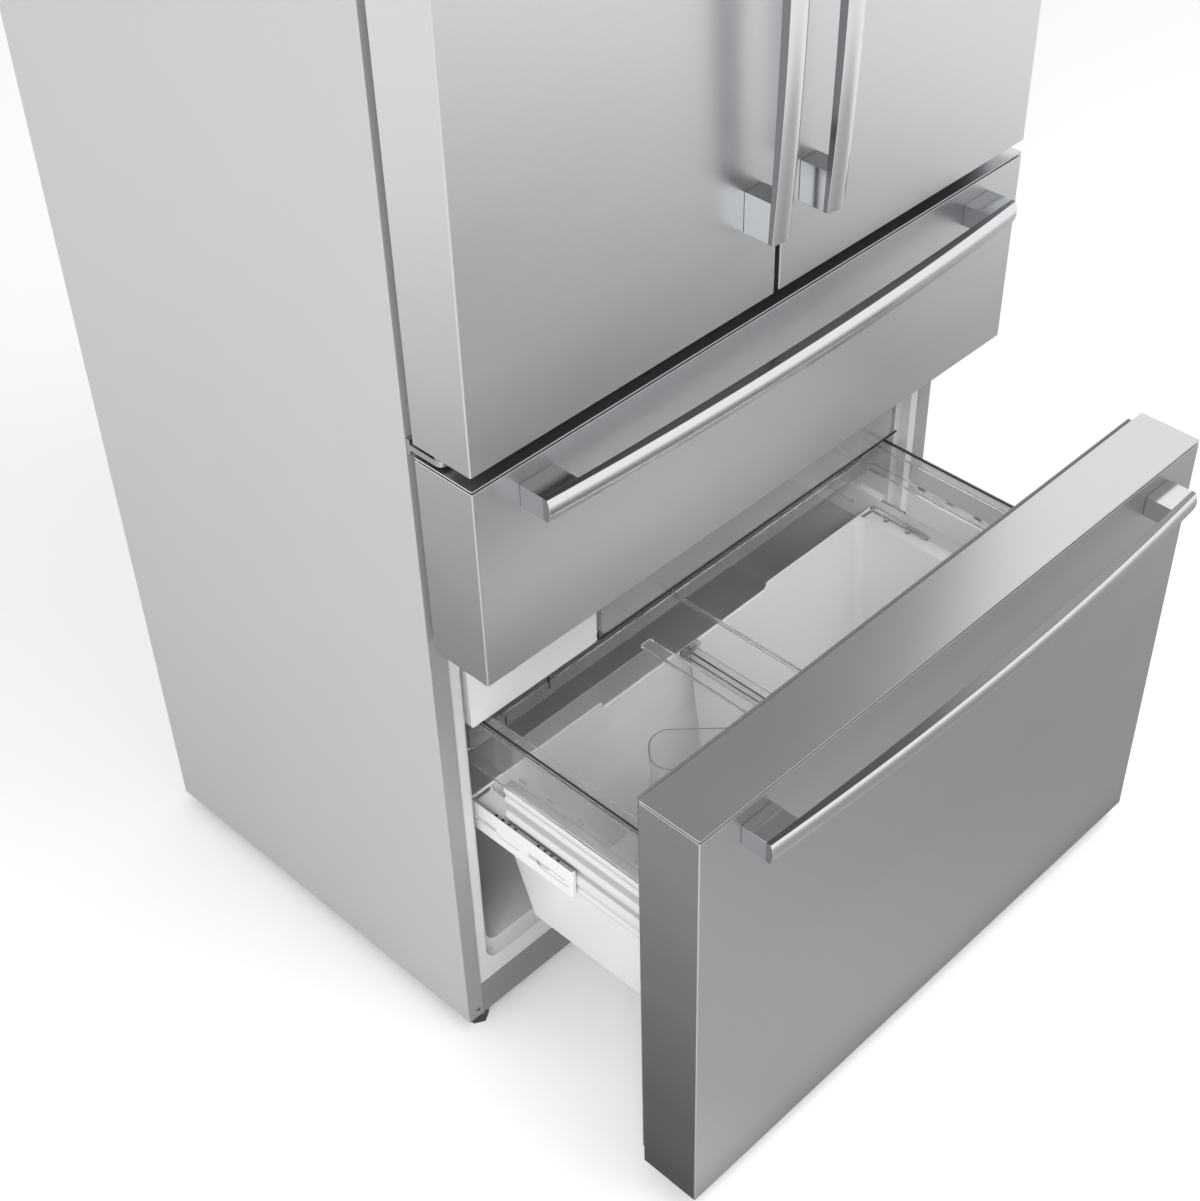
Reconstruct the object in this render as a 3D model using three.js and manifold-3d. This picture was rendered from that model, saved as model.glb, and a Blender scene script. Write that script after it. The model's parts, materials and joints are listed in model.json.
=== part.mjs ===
// A four-door refrigerator with a bottom freezer drawer, in millimetres.
// x runs to the right, y to the back and z up. The front of the cabinet is the plane y = 0
// while the pieces are drawn, and the floor is z = 0. The freezer drawer stands open.
import * as THREE from 'three';
import { mergeVertices } from 'three/addons/utils/BufferGeometryUtils.js';
import Module from 'manifold-3d';

const wasm = await Module();
wasm.setup();

// ---- Driving dimensions ------------------------------------------------------------------
// Cabinet
const WIDTH = 905;              // over the side panels and the doors
const CASE_DEPTH = 614;         // cabinet front to the back
const CASE_BOTTOM = 18;         // floor to the bottom edge of the side panels
const CASE_TOP = 1780;
const SHEET = 1.2;              // painted steel of the cabinet
const FLANGE = 25.5;            // width of the steel frame seen around the openings
const RAIL_HEIGHT = 50;         // steel rails between the compartments
const LOWER_RAIL_BOTTOM = 658;
const UPPER_RAIL_BOTTOM = 935;
const KICK_TOP = 75;            // top of the kick plate, where the freezer liner starts

// Liners and insulation
const LINER = 2;                // thickness of the plastic liners
const LIP = 15;                 // flat white lip beside the steel frame
const LIP_BOTTOM = 32;          // the same lip above the kick plate
const LIP_TUCK = 13;            // how far the lip reaches behind the steel
const RECESS = 14;              // depth of the step inside the lip
const STEP = 13;                // how far the step comes in
const STEP_RADIUS = 24;         // corners of the openings
const REAR_FOAM = 66;           // insulation behind the liners
const SHELF_START = 130;        // the shelves keep this far behind the cabinet front
const SHELF_REAR = 30;          // and this far from the back of the liner
const FREEZER_STEP = 330;       // height of the step in the freezer floor
const MACHINE_SPACE = 224;      // depth of the machine compartment
const MACHINE_TOP = 280;
const MACHINE_WALL = 55;        // from the machine compartment to the lower half of the freezer

// Doors and drawers
const FRONT_THICKNESS = 84;     // doors and drawer fronts
const GASKET_GAP = 11.6;        // cabinet front to the back of a closed door
const DOOR_LIFT = 33;           // lower edge of the upper rail to the bottom of a door
const DOOR_DROP = 3;            // top of the cabinet to the top of a door
const CENTRE_GAP = 8;           // between the two doors
const MIDDLE_FRONT_LIFT = [32, 17];  // lower edges of the two rails to the middle drawer's ends
const FREEZER_FRONT_LOW = 31;
const FREEZER_FRONT_LIFT = 18;  // lower edge of the lower rail to the top of the freezer drawer
const FRONT_RADIUS = 4;         // upright front edges
const SKIN = 1.2;               // stainless steel
const INNER_PANEL = 3;
const PAD = 10;                 // raised middle of a drawer's inner panel
const PAD_SIDE = 4;             // from the pad to the liner on each side
const PAD_GAP = 6;              // from the gasket to the pad above and below
const PAD_RADIUS = 10;
const DYKE_DEPTH = 50;          // wall around the inside of a door
const DYKE_WALL = 14;
const DYKE_RADIUS = 14;
const DYKE_SIDE = 64;           // from the hinge side of a door to its dyke
const DYKE_INNER = 43.4;        // from the other side of a door to its dyke
const DYKE_GAP = 6;             // from a dyke to the floor and ceiling of the compartment
const GASKET_INSET = 10;
const GASKET_WIDTH = 16;
const FREEZER_OPEN = 305;       // how far the freezer drawer stands open

// Handles
const HANDLE_BAR = 28;          // height of the bar
const HANDLE_FLAT = 6.5;        // depth of its flat edges at its ends
const HANDLE_BULGE = 3;         // rounding of its front
const DRAWER_BOW = 15.5;        // how far the front of a drawer's bar bows out
const DOOR_BOW = 12;            // the same for a door's bar
const BACK_BOW = 0.6;           // share of that by which its back bows out
const HANDLE_POST = 48;         // length of a post
const HANDLE_STANDOFF = 33.5;   // face of the door to the back of the bar
const HANDLE_INSET = 62.5;      // side of a drawer front to the end of its handle
const HANDLE_DROP = 25;         // from the top of a drawer front to the top of its handle
const DOOR_HANDLE_X = 44;       // middle of a door handle
const DOOR_HANDLE_LOW = 98;     // bottom of a door to its handle
const DOOR_HANDLE_HIGH = 87;    // top of a door to its handle

// Hinges
const PIN_INSET = 12;           // side of the cabinet to the axis of a door
const PIN_Y = -43;
const PIN_RADIUS = 5.7;
const PIN_CLEARANCE = 0.6;
const PIN_REACH = 18;           // length of a pin inside a door
const HINGE_PLATE = 7;
const HINGE_INSET = 5;          // side of the cabinet to a top hinge
const HINGE_WIDTH = 50;
const HINGE_FRONT = 14;         // axis to the front edge of a top hinge
const HINGE_LENGTH = 159;
const HINGE_RADIUS = 8;
const HINGE_WASHER = 4;
const WASHER_RIM = 4;           // how far a washer reaches past its pin
const LEG_INSET = 1;            // side of the cabinet to a middle hinge
const LEG_WIDTH = 45;
const LEG_DEPTH = 5;
const COVER_INSET = 1.5;        // side of the cabinet to a hinge cover
const COVER_WIDTH = 74.5;
const COVER_LENGTH = 170;
const COVER_FRONT = 20;         // axis to the front of a hinge cover
const COVER_HEIGHT = 49;        // above the cabinet
const COVER_RADIUS = 10;
const COVER_WALL = 2.5;
const FLIP_WIDTH = 68;
const FLIP_DEPTH = 18;
const FLIP_AXIS_X = -38;
const FLIP_GAP = 2;             // ends of the folding bar to the ends of the dyke

// Base
const FOOT_RADIUS = 16;
const FOOT_INSET = 25;          // side of the cabinet to the middle of a foot
const FOOT_Y = 14;
const STEM_RADIUS = 5;
const STEM_TOP = 48;
const TRAY_SHEET = 1.5;
const TRAY_TOP = 61.7;
const ROLLER_RADIUS = 26;
const ROLLER_WIDTH = 18;
const ROLLER_INSET = 52.5;      // side of the cabinet to the middle of a roller
const ROLLER_REAR = 54;         // back of the cabinet to the axle
const ROLLER_SPACE = 2;         // slot in the tray, past the roller
const AXLE_RADIUS = 4;
const AXLE_END = 3;             // how far the axle passes its ears
const EAR = 3;
const EAR_REACH = 14;           // axle to the edges of an ear

// Machine compartment
const LOUVRE_COLUMNS = 4;
const LOUVRE_ROWS = 7;
const LOUVRE_LENGTH = 130;
const LOUVRE_HEIGHT = 7;
const LOUVRE_GAP = 50;          // between two columns
const LOUVRE_PITCH = 22;
const LOUVRE_LOW = 100;         // floor to the lowest louvre
const MACHINE_REAR = 114;       // back of the cabinet to the middle of the machines
const COMPRESSOR_INSET = 192.5; // left side of the cabinet to the middle of the compressor
const POT_RADIUS = 92;
const POT_HEIGHT = 165;
const POT_WALL = 4;
const POT_SHOULDER = 40;
const POT_LIFT = 14;            // height of its rubber feet
const POT_FOOT_RADIUS = 12;
const POT_FEET = [95, 62];      // middle of the compressor to a foot
const POT_BASE = [112, 78];     // half sizes of its base plate
const POT_BASE_SHEET = 5;
const PORT_RADIUS = 8;
const PORT_BORE = 5;
const PORT_REACH = 12;
const PORT_ROOT = 10;           // how far the port starts inside the wall
const PORT_DROP = 50;
const CONDENSER_INSET = 332.5;  // right side of the cabinet to the condenser
const CONDENSER_WIDTH = 60;
const CONDENSER_FINS = 12;
const COIL_LENGTH = 190;
const COIL_HEIGHT = 180;
const FIN = 1.5;
const FIN_SHORT = 6;            // the end plates stand this far above and below the fins
const TUBE_RADIUS = 4;
const TUBE_SHARES = [0.2, 0.5, 0.8];
const TUBE_SIDES = 8;
const FAN_LEAD = 47;            // condenser to the fan bracket
const FAN_Z = 120;
const FAN_RADIUS = 70;
const FAN_HUB = 20;
const FAN_DEPTH = 22;
const FAN_BLADES = 5;
const BLADE = 2.5;
const BLADE_CHORD = 44;
const BLADE_ROOT = 4;           // how far a blade starts inside the hub
const BLADE_TURN = Math.PI / 4.5;
const BRACKET_RISE = 18;        // fan circle to the top of its bracket
const BRACKET_SHEET = 3;
const BRACKET_RING = 6;         // fan circle to the hole in the bracket
const BRACKET_ARM = 5;          // half width of an arm
const MOTOR_LENGTH = 28;

// Fresh food compartment
const SHELF_GLASS = 5;
const SHELF_EDGE = 4;           // depth of the strip along the front of a shelf
const SHELF_EDGE_DROP = 6;
const SHELF_EDGE_RISE = 3;
const UPPER_SHELF_LIFT = 545;   // above the lower edge of the upper rail
const CRISPER_COVER_LIFT = 270;
const CRISPER_HEIGHT = 178;
const CRISPER_GAP = 8;
const CRISPER_LEAD = 16;        // the crispers start this far before the shelves
const CRISPER_REAR = 40;
const CRISPER_CORNER = 14;      // from the liner's rounded corner to the crisper's floor
const CRISPER_TAPER = 8;
const CRISPER_RADIUS = 12;
const LEDGE = 12;               // width of the ledges moulded into the liners
const LEDGE_HEIGHT = 6;
const LEDGE_SPARE = 10;         // how far a ledge passes what rests on it
const BESIDE_LEDGE = 2;         // gap between a ledge and a hanging box
const BIN_WALL = 2.5;
const DOOR_BIN_LIFT = [140, 250];
const DOOR_BIN_REACH = 92;
const DOOR_BIN_TAPER = 12;
const DOOR_BIN_RADIUS = 8;

// Freezer compartment
const EVAPORATOR_INSET = 159;   // side of the liner to the evaporator
const EVAPORATOR_DEPTH = 50;
const EVAPORATOR_LOW = 50;      // above the step
const EVAPORATOR_HIGH = 40;     // below the ceiling
const EVAPORATOR_FINS = 13;
const AIR_COVER = 3;
const AIR_GAP = 11;             // evaporator to its cover
const AIR_SLOT_START = 60;      // middle to a slot
const AIR_SLOT_END = 179;       // slot to the side of the liner
const AIR_SLOT_HEIGHT = 8;
const AIR_SLOT_PITCH = 18;
const AIR_SLOT_ROWS = 4;
const AIR_SLOT_DROP = 52;       // ceiling to the first slot
const ICE_GAP = 5;              // side of the liner to the ice maker
const ICE_WIDTH = 208;
const ICE_WALL = 3;
const ICE_RADIUS = 4;
const ICE_RAIL = 6;             // rail on its side that carries the upper tray
const CHUTE_HALF = 40;
const CHUTE_Y = [110, 230];     // from its face
const CEILING_FRONT = 10;       // face of the ice maker and of the upper tray
const ICE_DEPTH = 300;
const HANGING_DROP = 144;       // lower edge of the lower rail to the bottom of the tray
const TRAY_HEIGHT = 80;
const TRAY_DEPTH = 330;
const TRAY_LEDGE_LIFT = 52;
const TRAY_LEDGE_SPARE = 20;    // how far the ledge passes the tray
const TRAY_RIM = 3;
const TRAY_RADIUS = 12;
const FRAME_GAP = 6;            // clear frame of the drawer to the tray above it
const FRAME_INSET = 21;         // side of the liner to the frame
const FRAME_LIP = 18;
const FRAME_LIP_REAR = 7;
const FRAME_WALL = 3;
const FRAME_RADIUS = 6;
const FRAME_HOOK = 3;
const FRAME_STEP = [5, 22];     // how far the rear lip is cut back, and above what height
const DRAWER_DEPTH = 10;        // back of the frame, past the lower half of the freezer
const RAIL_BOTTOM = 340;
const RAIL_TOP = 390;
const RAIL_DEPTH = 8;
const RAIL_WALL = 1.5;
const RAIL_START = 4;           // liner step to the front of the rail
const RAIL_REAR = 25;           // rail length, short of the lower half of the freezer
const RAIL_BRACKET = 42;
const RAIL_BRACKET_DROP = 28;
const RAIL_BRACKET_RISE = 6;
const SLIDE_SHORT = 10;         // the sliding member is this much shorter than the rail
const SLIDE_SLOTS = [0.2, 0.5, 0.8];
const SLIDE_SLOT_HALF = 18;
const SLIDE_SLOT_Z = [17, 24];
const PROFILE_TOP = 445;
const PROFILE_SHORT = 28;       // the profile ends this far before the sliding member
const PROFILE_HEAD = 10;
const PROFILE_HEAD_LIFT = 2;    // rail to the head of the profile
const PROFILE_LEG = 3.1;
const PROFILE_LEG_LIFT = 5;
const PROFILE_LEDGE_REACH = 6;
const PROFILE_LEDGE_HEIGHT = 4;
const TUB_RIM = 375;
const TUB_BOTTOM = 145;
const TUB_TOP_INSET = 37;       // side of the liner to the tub, at its rim
const TUB_BOTTOM_INSET = 64;    // and at its bottom
const TUB_START = 8;            // drawer front to the tub
const TUB_REAR = 5;             // back of the tub, past the lower half of the freezer
const TUB_TAPER = [20, 35];     // how far the bottom stays back at the front and the rear
const TUB_RADIUS = 14;
const TUB_FLANGE = 3;
const TUB_FLANGE_ROOT = 4;
const TUB_FLANGE_SHORT = 10;
const TUB_NOTCH = 160;          // half width of the lower middle of its rear rim
const TUB_NOTCH_DEPTH = [14, 10];
const DIVIDER = 3;
const DIVIDER_DROP = 12;        // rim of the tub to the top of its divider
const DIVIDER_BAR = [11, 4];    // half width and height of the bar along its top
const DIVIDER_GAP = 3.5;        // wall of the tub to the divider

// Middle drawer
const MIDDLE_TUB_LIFT = 90;     // above the lower edge of the lower rail
const MIDDLE_TUB_DROP = 43;     // below the lower edge of the upper rail
const MIDDLE_TUB_REAR = 74.5;   // back of the liner to the tub
const MIDDLE_TUB_TAPER = [6, 12];
const MIDDLE_TUB_RADIUS = 10;
const MIDDLE_LEDGE_LIFT = 112;
const RUNNER_ROOT = 8;
const RUNNER = 4;

// Fits
const SEAT = 0.3;               // gap where one fixed piece rests on another
const RUN = 0.4;                // gap where one piece slides or turns on another
const PASS = 1;                 // how far a cutter passes a face, or one joined shape another
const ARC = 4;                  // segments of a small quarter round
const ROUND = 20;               // sides of a small cylinder
const FINE_ROUND = 32;          // sides of a large cylinder
const SWEEP_ROUND = 40;
const POT_ROUND = 24;
const BULGE_SEGMENTS = 8;
const BOW_SEGMENTS = 16;        // along a bowed handle

// Places that follow from the sizes
const HALF = WIDTH / 2;
const FRAME_IN = HALF - FLANGE;
const INSIDE = HALF - SHEET - SEAT;
const REAR_FACE = -GASKET_GAP;
const FRONT_FACE = REAR_FACE - FRONT_THICKNESS;
const LINER_FRONT = SHEET + SEAT;
const LINER_HALF = FRAME_IN - LIP - STEP;
const LINER_REAR = CASE_DEPTH - SHEET - SEAT - REAR_FOAM - LINER;
const MACHINE_FRONT = CASE_DEPTH - MACHINE_SPACE;
const MACHINE_Y = CASE_DEPTH - MACHINE_REAR;
const FREEZER_DEPTH_LOW = MACHINE_FRONT - MACHINE_WALL;
const DOOR_TOP = CASE_TOP - DOOR_DROP;
const DOOR_BOTTOM = UPPER_RAIL_BOTTOM + DOOR_LIFT;
const MIDDLE_FRONT = [
  LOWER_RAIL_BOTTOM + MIDDLE_FRONT_LIFT[0],
  UPPER_RAIL_BOTTOM + MIDDLE_FRONT_LIFT[1],
];
const FREEZER_FRONT = [FREEZER_FRONT_LOW, LOWER_RAIL_BOTTOM + FREEZER_FRONT_LIFT];
const UPPER_SHELF = UPPER_RAIL_BOTTOM + UPPER_SHELF_LIFT;
const CRISPER_COVER = UPPER_RAIL_BOTTOM + CRISPER_COVER_LIFT;
const DOOR_BIN = DOOR_BIN_LIFT.map((lift) => UPPER_RAIL_BOTTOM + lift);
const MIDDLE_TUB = [LOWER_RAIL_BOTTOM + MIDDLE_TUB_LIFT, UPPER_RAIL_BOTTOM - MIDDLE_TUB_DROP];
const MIDDLE_LEDGE = LOWER_RAIL_BOTTOM + MIDDLE_LEDGE_LIFT;
const HANGING_BOTTOM = LOWER_RAIL_BOTTOM - HANGING_DROP;
const TRAY_LEDGE = HANGING_BOTTOM + TRAY_LEDGE_LIFT;
const FRAME_TOP = HANGING_BOTTOM - FRAME_GAP;
const HANDLE_REACH = HANDLE_STANDOFF + HANDLE_FLAT + HANDLE_BULGE + DRAWER_BOW;
const PIN_X = HALF - PIN_INSET;
const FOOT_X = HALF - FOOT_INSET;
const ROLLER_X = HALF - ROLLER_INSET;
const ROLLER_Y = CASE_DEPTH - ROLLER_REAR;
const COMPRESSOR_X = -HALF + COMPRESSOR_INSET;
const CONDENSER_X = HALF - CONDENSER_INSET;
const FAN_X = CONDENSER_X - FAN_LEAD;
const ICE_RIGHT = -LINER_HALF + ICE_GAP + ICE_WIDTH;
const RAIL_LENGTH = FREEZER_DEPTH_LOW - RAIL_REAR;
const SLIDE_LENGTH = RAIL_LENGTH - SLIDE_SHORT;

// ---- Solids ------------------------------------------------------------------------------
function toSolid(geometry) {
  const bare = geometry.clone();
  bare.deleteAttribute('normal');
  bare.deleteAttribute('uv');
  const merged = mergeVertices(bare, 1e-4);
  return new wasm.Manifold(new wasm.Mesh({
    numProp: 3,
    vertProperties: new Float32Array(merged.attributes.position.array),
    triVerts: new Uint32Array(merged.index.array),
  }));
}

function toGeometry(solid) {
  const mesh = solid.getMesh();
  const geometry = new THREE.BufferGeometry();
  geometry.setAttribute('position', new THREE.BufferAttribute(mesh.vertProperties, 3));
  geometry.setIndex(new THREE.BufferAttribute(mesh.triVerts, 1));
  geometry.computeVertexNormals();
  return geometry;
}

const join = (first, ...others) => others.reduce((whole, piece) => whole.add(piece), first);
const cut = (first, ...others) => others.reduce((whole, piece) => whole.subtract(piece), first);

// A box between two values on each axis, given in either order.
function block([xa, xb], [ya, yb], [za, zb]) {
  const geometry = new THREE.BoxGeometry(Math.abs(xb - xa), Math.abs(yb - ya), Math.abs(zb - za));
  return toSolid(geometry.translate((xa + xb) / 2, (ya + yb) / 2, (za + zb) / 2));
}

// A flat shape pushed along an axis. The shape's own axes are y, z for x; x, z for y; x, y for z.
function prism(shape, axis, [from, to], curveSegments = ARC) {
  const depth = to - from;
  const geometry = new THREE.ExtrudeGeometry(shape, { depth, bevelEnabled: false, curveSegments });
  if (axis === 'x') {
    geometry.applyMatrix4(new THREE.Matrix4().makeBasis(
      new THREE.Vector3(0, 1, 0), new THREE.Vector3(0, 0, 1), new THREE.Vector3(1, 0, 0)));
    geometry.translate(from, 0, 0);
  } else if (axis === 'y') {
    geometry.rotateX(Math.PI / 2).translate(0, to, 0);
  } else {
    geometry.translate(0, 0, from);
  }
  return toSolid(geometry);
}

// A rectangle with its own radius at each corner: low-left, low-right, high-right, high-left.
function roundedRect([xa, xb], [ya, yb], radii) {
  const [x0, x1] = [Math.min(xa, xb), Math.max(xa, xb)];
  const [y0, y1] = [Math.min(ya, yb), Math.max(ya, yb)];
  const [a, b, c, d] = Array.isArray(radii) ? radii : [radii, radii, radii, radii];
  const shape = new THREE.Shape();
  shape.moveTo(x0 + a, y0).lineTo(x1 - b, y0);
  if (b) shape.absarc(x1 - b, y0 + b, b, -Math.PI / 2, 0, false);
  shape.lineTo(x1, y1 - c);
  if (c) shape.absarc(x1 - c, y1 - c, c, 0, Math.PI / 2, false);
  shape.lineTo(x0 + d, y1);
  if (d) shape.absarc(x0 + d, y1 - d, d, Math.PI / 2, Math.PI, false);
  shape.lineTo(x0, y0 + a);
  if (a) shape.absarc(x0 + a, y0 + a, a, Math.PI, Math.PI * 1.5, false);
  return shape;
}

const polygon = (points) => new THREE.Shape(points.map(([x, y]) => new THREE.Vector2(x, y)));

function cylinder(axis, radius, [from, to], [u, v], sides = ROUND) {
  const geometry = new THREE.CylinderGeometry(radius, radius, to - from, sides);
  const middle = (from + to) / 2;
  if (axis === 'x') geometry.rotateZ(Math.PI / 2).translate(middle, u, v);
  else if (axis === 'y') geometry.translate(u, middle, v);
  else geometry.rotateX(Math.PI / 2).translate(u, v, middle);
  return toSolid(geometry);
}

// A closed body through rounded rectangles at two heights, for tapered tubs and bins.
function taper(bottom, top, [z0, z1], radius) {
  const ring = ({ x, y }, z) => roundedRect(x, y, radius).getPoints(ARC)
    .map((p) => new THREE.Vector3(p.x, p.y, z));
  const rings = [ring(bottom, z0), ring(top, z1)];
  const count = rings[0].length - 1;
  const points = [...rings[0].slice(0, count), ...rings[1].slice(0, count)];
  const flat = rings[0].slice(0, count).map((p) => new THREE.Vector2(p.x, p.y));
  const caps = THREE.ShapeUtils.triangulateShape(flat, []);
  const index = [];
  for (const [a, b, c] of caps) index.push(a, c, b, count + a, count + b, count + c);
  for (let i = 0; i < count; i += 1) {
    const j = (i + 1) % count;
    index.push(i, j, count + j, i, count + j, count + i);
  }
  const geometry = new THREE.BufferGeometry().setFromPoints(points);
  geometry.setIndex(index);
  return toSolid(geometry);
}

const grow = ([low, high], by) => [low - by, high + by];
const both = (half) => [-half, half];
const sorted = (a, b) => [Math.min(a, b), Math.max(a, b)];

// An open tub with a wall of BIN_WALL, and anything that is moulded onto its outside.
function tub(bottom, top, [z0, z1], radius, extras = []) {
  const inside = ({ x, y }) => ({ x: grow(x, -BIN_WALL), y: grow(y, -BIN_WALL) });
  return cut(join(taper(bottom, top, [z0, z1], radius), ...extras),
    taper(inside(bottom), inside(top), [z0 + BIN_WALL, z1 + PASS], radius - BIN_WALL / 2));
}

// ---- Materials ---------------------------------------------------------------------------
const finish = (color, roughness, metalness = 0, extra = {}) => new THREE.MeshStandardMaterial(
  { color, roughness, metalness, ...extra });
const clear = { transparent: true, opacity: 0.35 };
const MATERIALS = {
  paint: finish(0xc3c5c7, 0.45),
  framePaint: finish(0x8d8f90, 0.5),
  stainless: finish(0xa9abae, 0.32, 1),
  handle: finish(0xc9cbce, 0.22, 1),
  liner: finish(0xeceded, 0.4),
  white: finish(0xf1f2f3, 0.3),
  foam: finish(0xe6dcb8, 0.9),
  rubber: finish(0x6f7173, 0.8),
  zinc: finish(0x8b8d8c, 0.45, 0.9),
  black: finish(0x1c1d1e, 0.5),
  aluminium: finish(0xb9bcbf, 0.4, 0.9),
  nylon: finish(0x3a3b3c, 0.6),
  clear: finish(0xc9cdd0, 0.08, 0, clear),
  glass: finish(0xd5dddb, 0.05, 0, clear),
};

const fridge = new THREE.Group();
const doorsAndCabinet = new THREE.Group();
const freezerDrawer = new THREE.Group();
const slideMembers = new THREE.Group();

function add(name, solid, material, group = doorsAndCabinet) {
  const mesh = new THREE.Mesh(toGeometry(solid), MATERIALS[material].clone());
  mesh.name = name;
  group.add(mesh);
}

const SIDES = [['left', -1], ['right', 1]];

// ---- Cabinet -----------------------------------------------------------------------------
// The three openings in the steel frame, from the floor up, and the lip each liner shows.
const OPENINGS = {
  freezer: { z: [KICK_TOP, LOWER_RAIL_BOTTOM], low: LIP_BOTTOM },
  middle: { z: [LOWER_RAIL_BOTTOM + RAIL_HEIGHT, UPPER_RAIL_BOTTOM], low: LIP },
  fresh: { z: [UPPER_RAIL_BOTTOM + RAIL_HEIGHT, CASE_TOP - FLANGE], low: LIP },
};
const inner = ({ z: [bottom, top], low }) => [bottom + low + STEP, top - LIP - STEP];
const [, FREEZER_CEILING] = inner(OPENINGS.freezer);
const [FRESH_FLOOR, FRESH_CEILING] = inner(OPENINGS.fresh);

function cabinetWrapper() {
  const shell = cut(
    block(both(HALF), [0, CASE_DEPTH], [CASE_BOTTOM, CASE_TOP]),
    block(both(HALF - SHEET), [SHEET, CASE_DEPTH + PASS], [CASE_BOTTOM - PASS, CASE_TOP - SHEET]));
  const low = [CASE_BOTTOM - PASS, OPENINGS.freezer.z[1]];
  const cuts = [low, OPENINGS.middle.z, OPENINGS.fresh.z].map((z) =>
    block(both(FRAME_IN), [-PASS, SHEET + PASS], z));
  return cut(shell, ...cuts);
}

// The space that a liner takes up, larger than the liner by a margin.
function linerSpace(opening, margin) {
  const [bottom, top] = inner(opening);
  const low = opening === OPENINGS.freezer ? FREEZER_STEP : bottom;
  const half = LINER_HALF + LINER + margin;
  const front = [LINER_FRONT - margin, low === bottom ? LINER_REAR : FREEZER_DEPTH_LOW];
  const z = (floor) => [floor - LINER - margin, top + LINER + margin];
  const round = STEP_RADIUS + LINER + margin;
  const [recessLow, recessTop] = [opening.z[0] + opening.low, opening.z[1] - LIP];
  return join(
    block(both(FRAME_IN + LIP_TUCK + margin), [0, LINER_FRONT + LINER + margin],
      grow(opening.z, LIP_TUCK + margin)),
    prism(roundedRect(both(FRAME_IN - LIP + LINER + margin),
      [recessLow - LINER - margin, recessTop + LINER + margin], round), 'y',
    [front[0], LINER_FRONT + RECESS + LINER + margin]),
    prism(roundedRect(both(half), z(bottom), round), 'y',
      [front[0], front[1] + LINER + margin]),
    prism(roundedRect(both(half), z(low), round), 'y',
      [front[0], LINER_REAR + LINER + margin]));
}

function liner(opening, ledges) {
  const [bottom, top] = inner(opening);
  const low = opening === OPENINGS.freezer ? FREEZER_STEP : bottom;
  const depth = low === bottom ? LINER_REAR : FREEZER_DEPTH_LOW;
  const recess = [opening.z[0] + opening.low, opening.z[1] - LIP];
  const body = cut(
    linerSpace(opening, 0),
    block(both(FRAME_IN + LIP_TUCK + PASS), [-PASS, LINER_FRONT],
      grow(opening.z, LIP_TUCK + PASS)),
    prism(roundedRect(both(FRAME_IN - LIP), recess, STEP_RADIUS), 'y',
      [-PASS, LINER_FRONT + RECESS]),
    prism(roundedRect(both(LINER_HALF), [bottom, top], STEP_RADIUS), 'y', [-PASS, depth]),
    prism(roundedRect(both(LINER_HALF), [low, top], STEP_RADIUS), 'y', [-PASS, LINER_REAR]));
  return join(body, ...ledges);
}

// A ledge moulded into the wall of a liner, on one side.
const ledge = (side, y, z) => block(
  [side * (LINER_HALF - LEDGE), side * (LINER_HALF + LINER / 2)], y, [z - LEDGE_HEIGHT, z]);

function insulation() {
  const mass = block(both(INSIDE), [SHEET + SEAT, CASE_DEPTH - SHEET - SEAT],
    [TRAY_TOP + SEAT, CASE_TOP - SHEET - SEAT]);
  const machine = block(both(HALF), [MACHINE_FRONT, CASE_DEPTH], [0, MACHINE_TOP]);
  return cut(mass, machine, ...Object.values(OPENINGS).map((each) => linerSpace(each, SEAT)));
}

function kickPlate() {
  return block(both(FRAME_IN - SEAT), [0, SHEET], [CASE_BOTTOM, KICK_TOP]);
}

function rearPanel() {
  return block(both(INSIDE), [CASE_DEPTH - SHEET, CASE_DEPTH],
    [MACHINE_TOP + SEAT, CASE_TOP - SHEET - SEAT]);
}

function machineCover() {
  const plate = block(both(INSIDE), [CASE_DEPTH - SHEET, CASE_DEPTH], [CASE_BOTTOM, MACHINE_TOP]);
  const louvres = [];
  const y = grow([CASE_DEPTH - SHEET, CASE_DEPTH], PASS);
  for (let column = 0; column < LOUVRE_COLUMNS; column += 1) {
    for (let row = 0; row < LOUVRE_ROWS; row += 1) {
      const x = (column - (LOUVRE_COLUMNS - 1) / 2) * (LOUVRE_LENGTH + LOUVRE_GAP);
      const z = LOUVRE_LOW + row * LOUVRE_PITCH;
      louvres.push(block(grow([x, x], LOUVRE_LENGTH / 2), y, [z, z + LOUVRE_HEIGHT]));
    }
  }
  return cut(plate, ...louvres);
}

function baseTray() {
  const floor = CASE_BOTTOM + TRAY_SHEET;
  const rear = CASE_DEPTH - SHEET - SEAT;
  const front = SHEET + SEAT + LINER + SEAT;
  let tray = cut(
    block(both(INSIDE), [front, rear], [CASE_BOTTOM, TRAY_TOP]),
    block(both(INSIDE - TRAY_SHEET), [front + TRAY_SHEET, rear - TRAY_SHEET],
      [floor, TRAY_TOP + PASS]));
  for (const [, side] of SIDES) {
    const x = side * ROLLER_X;
    const slot = grow([ROLLER_Y, ROLLER_Y], ROLLER_RADIUS + ROLLER_SPACE);
    const half = ROLLER_WIDTH / 2 + RUN;
    tray = cut(tray,
      cylinder('z', STEM_RADIUS + SEAT, [0, TRAY_TOP], [side * FOOT_X, FOOT_Y]),
      block([x - half, x + half], slot, [0, floor + PASS]));
    for (const at of [x - half - EAR, x + half]) {
      const ear = [at, at + EAR];
      tray = join(tray, cut(
        block(ear, grow([ROLLER_Y, ROLLER_Y], EAR_REACH), [CASE_BOTTOM, ROLLER_RADIUS + EAR_REACH]),
        cylinder('x', AXLE_RADIUS + RUN, grow(ear, PASS), [ROLLER_Y, ROLLER_RADIUS])));
    }
  }
  return tray;
}

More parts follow.
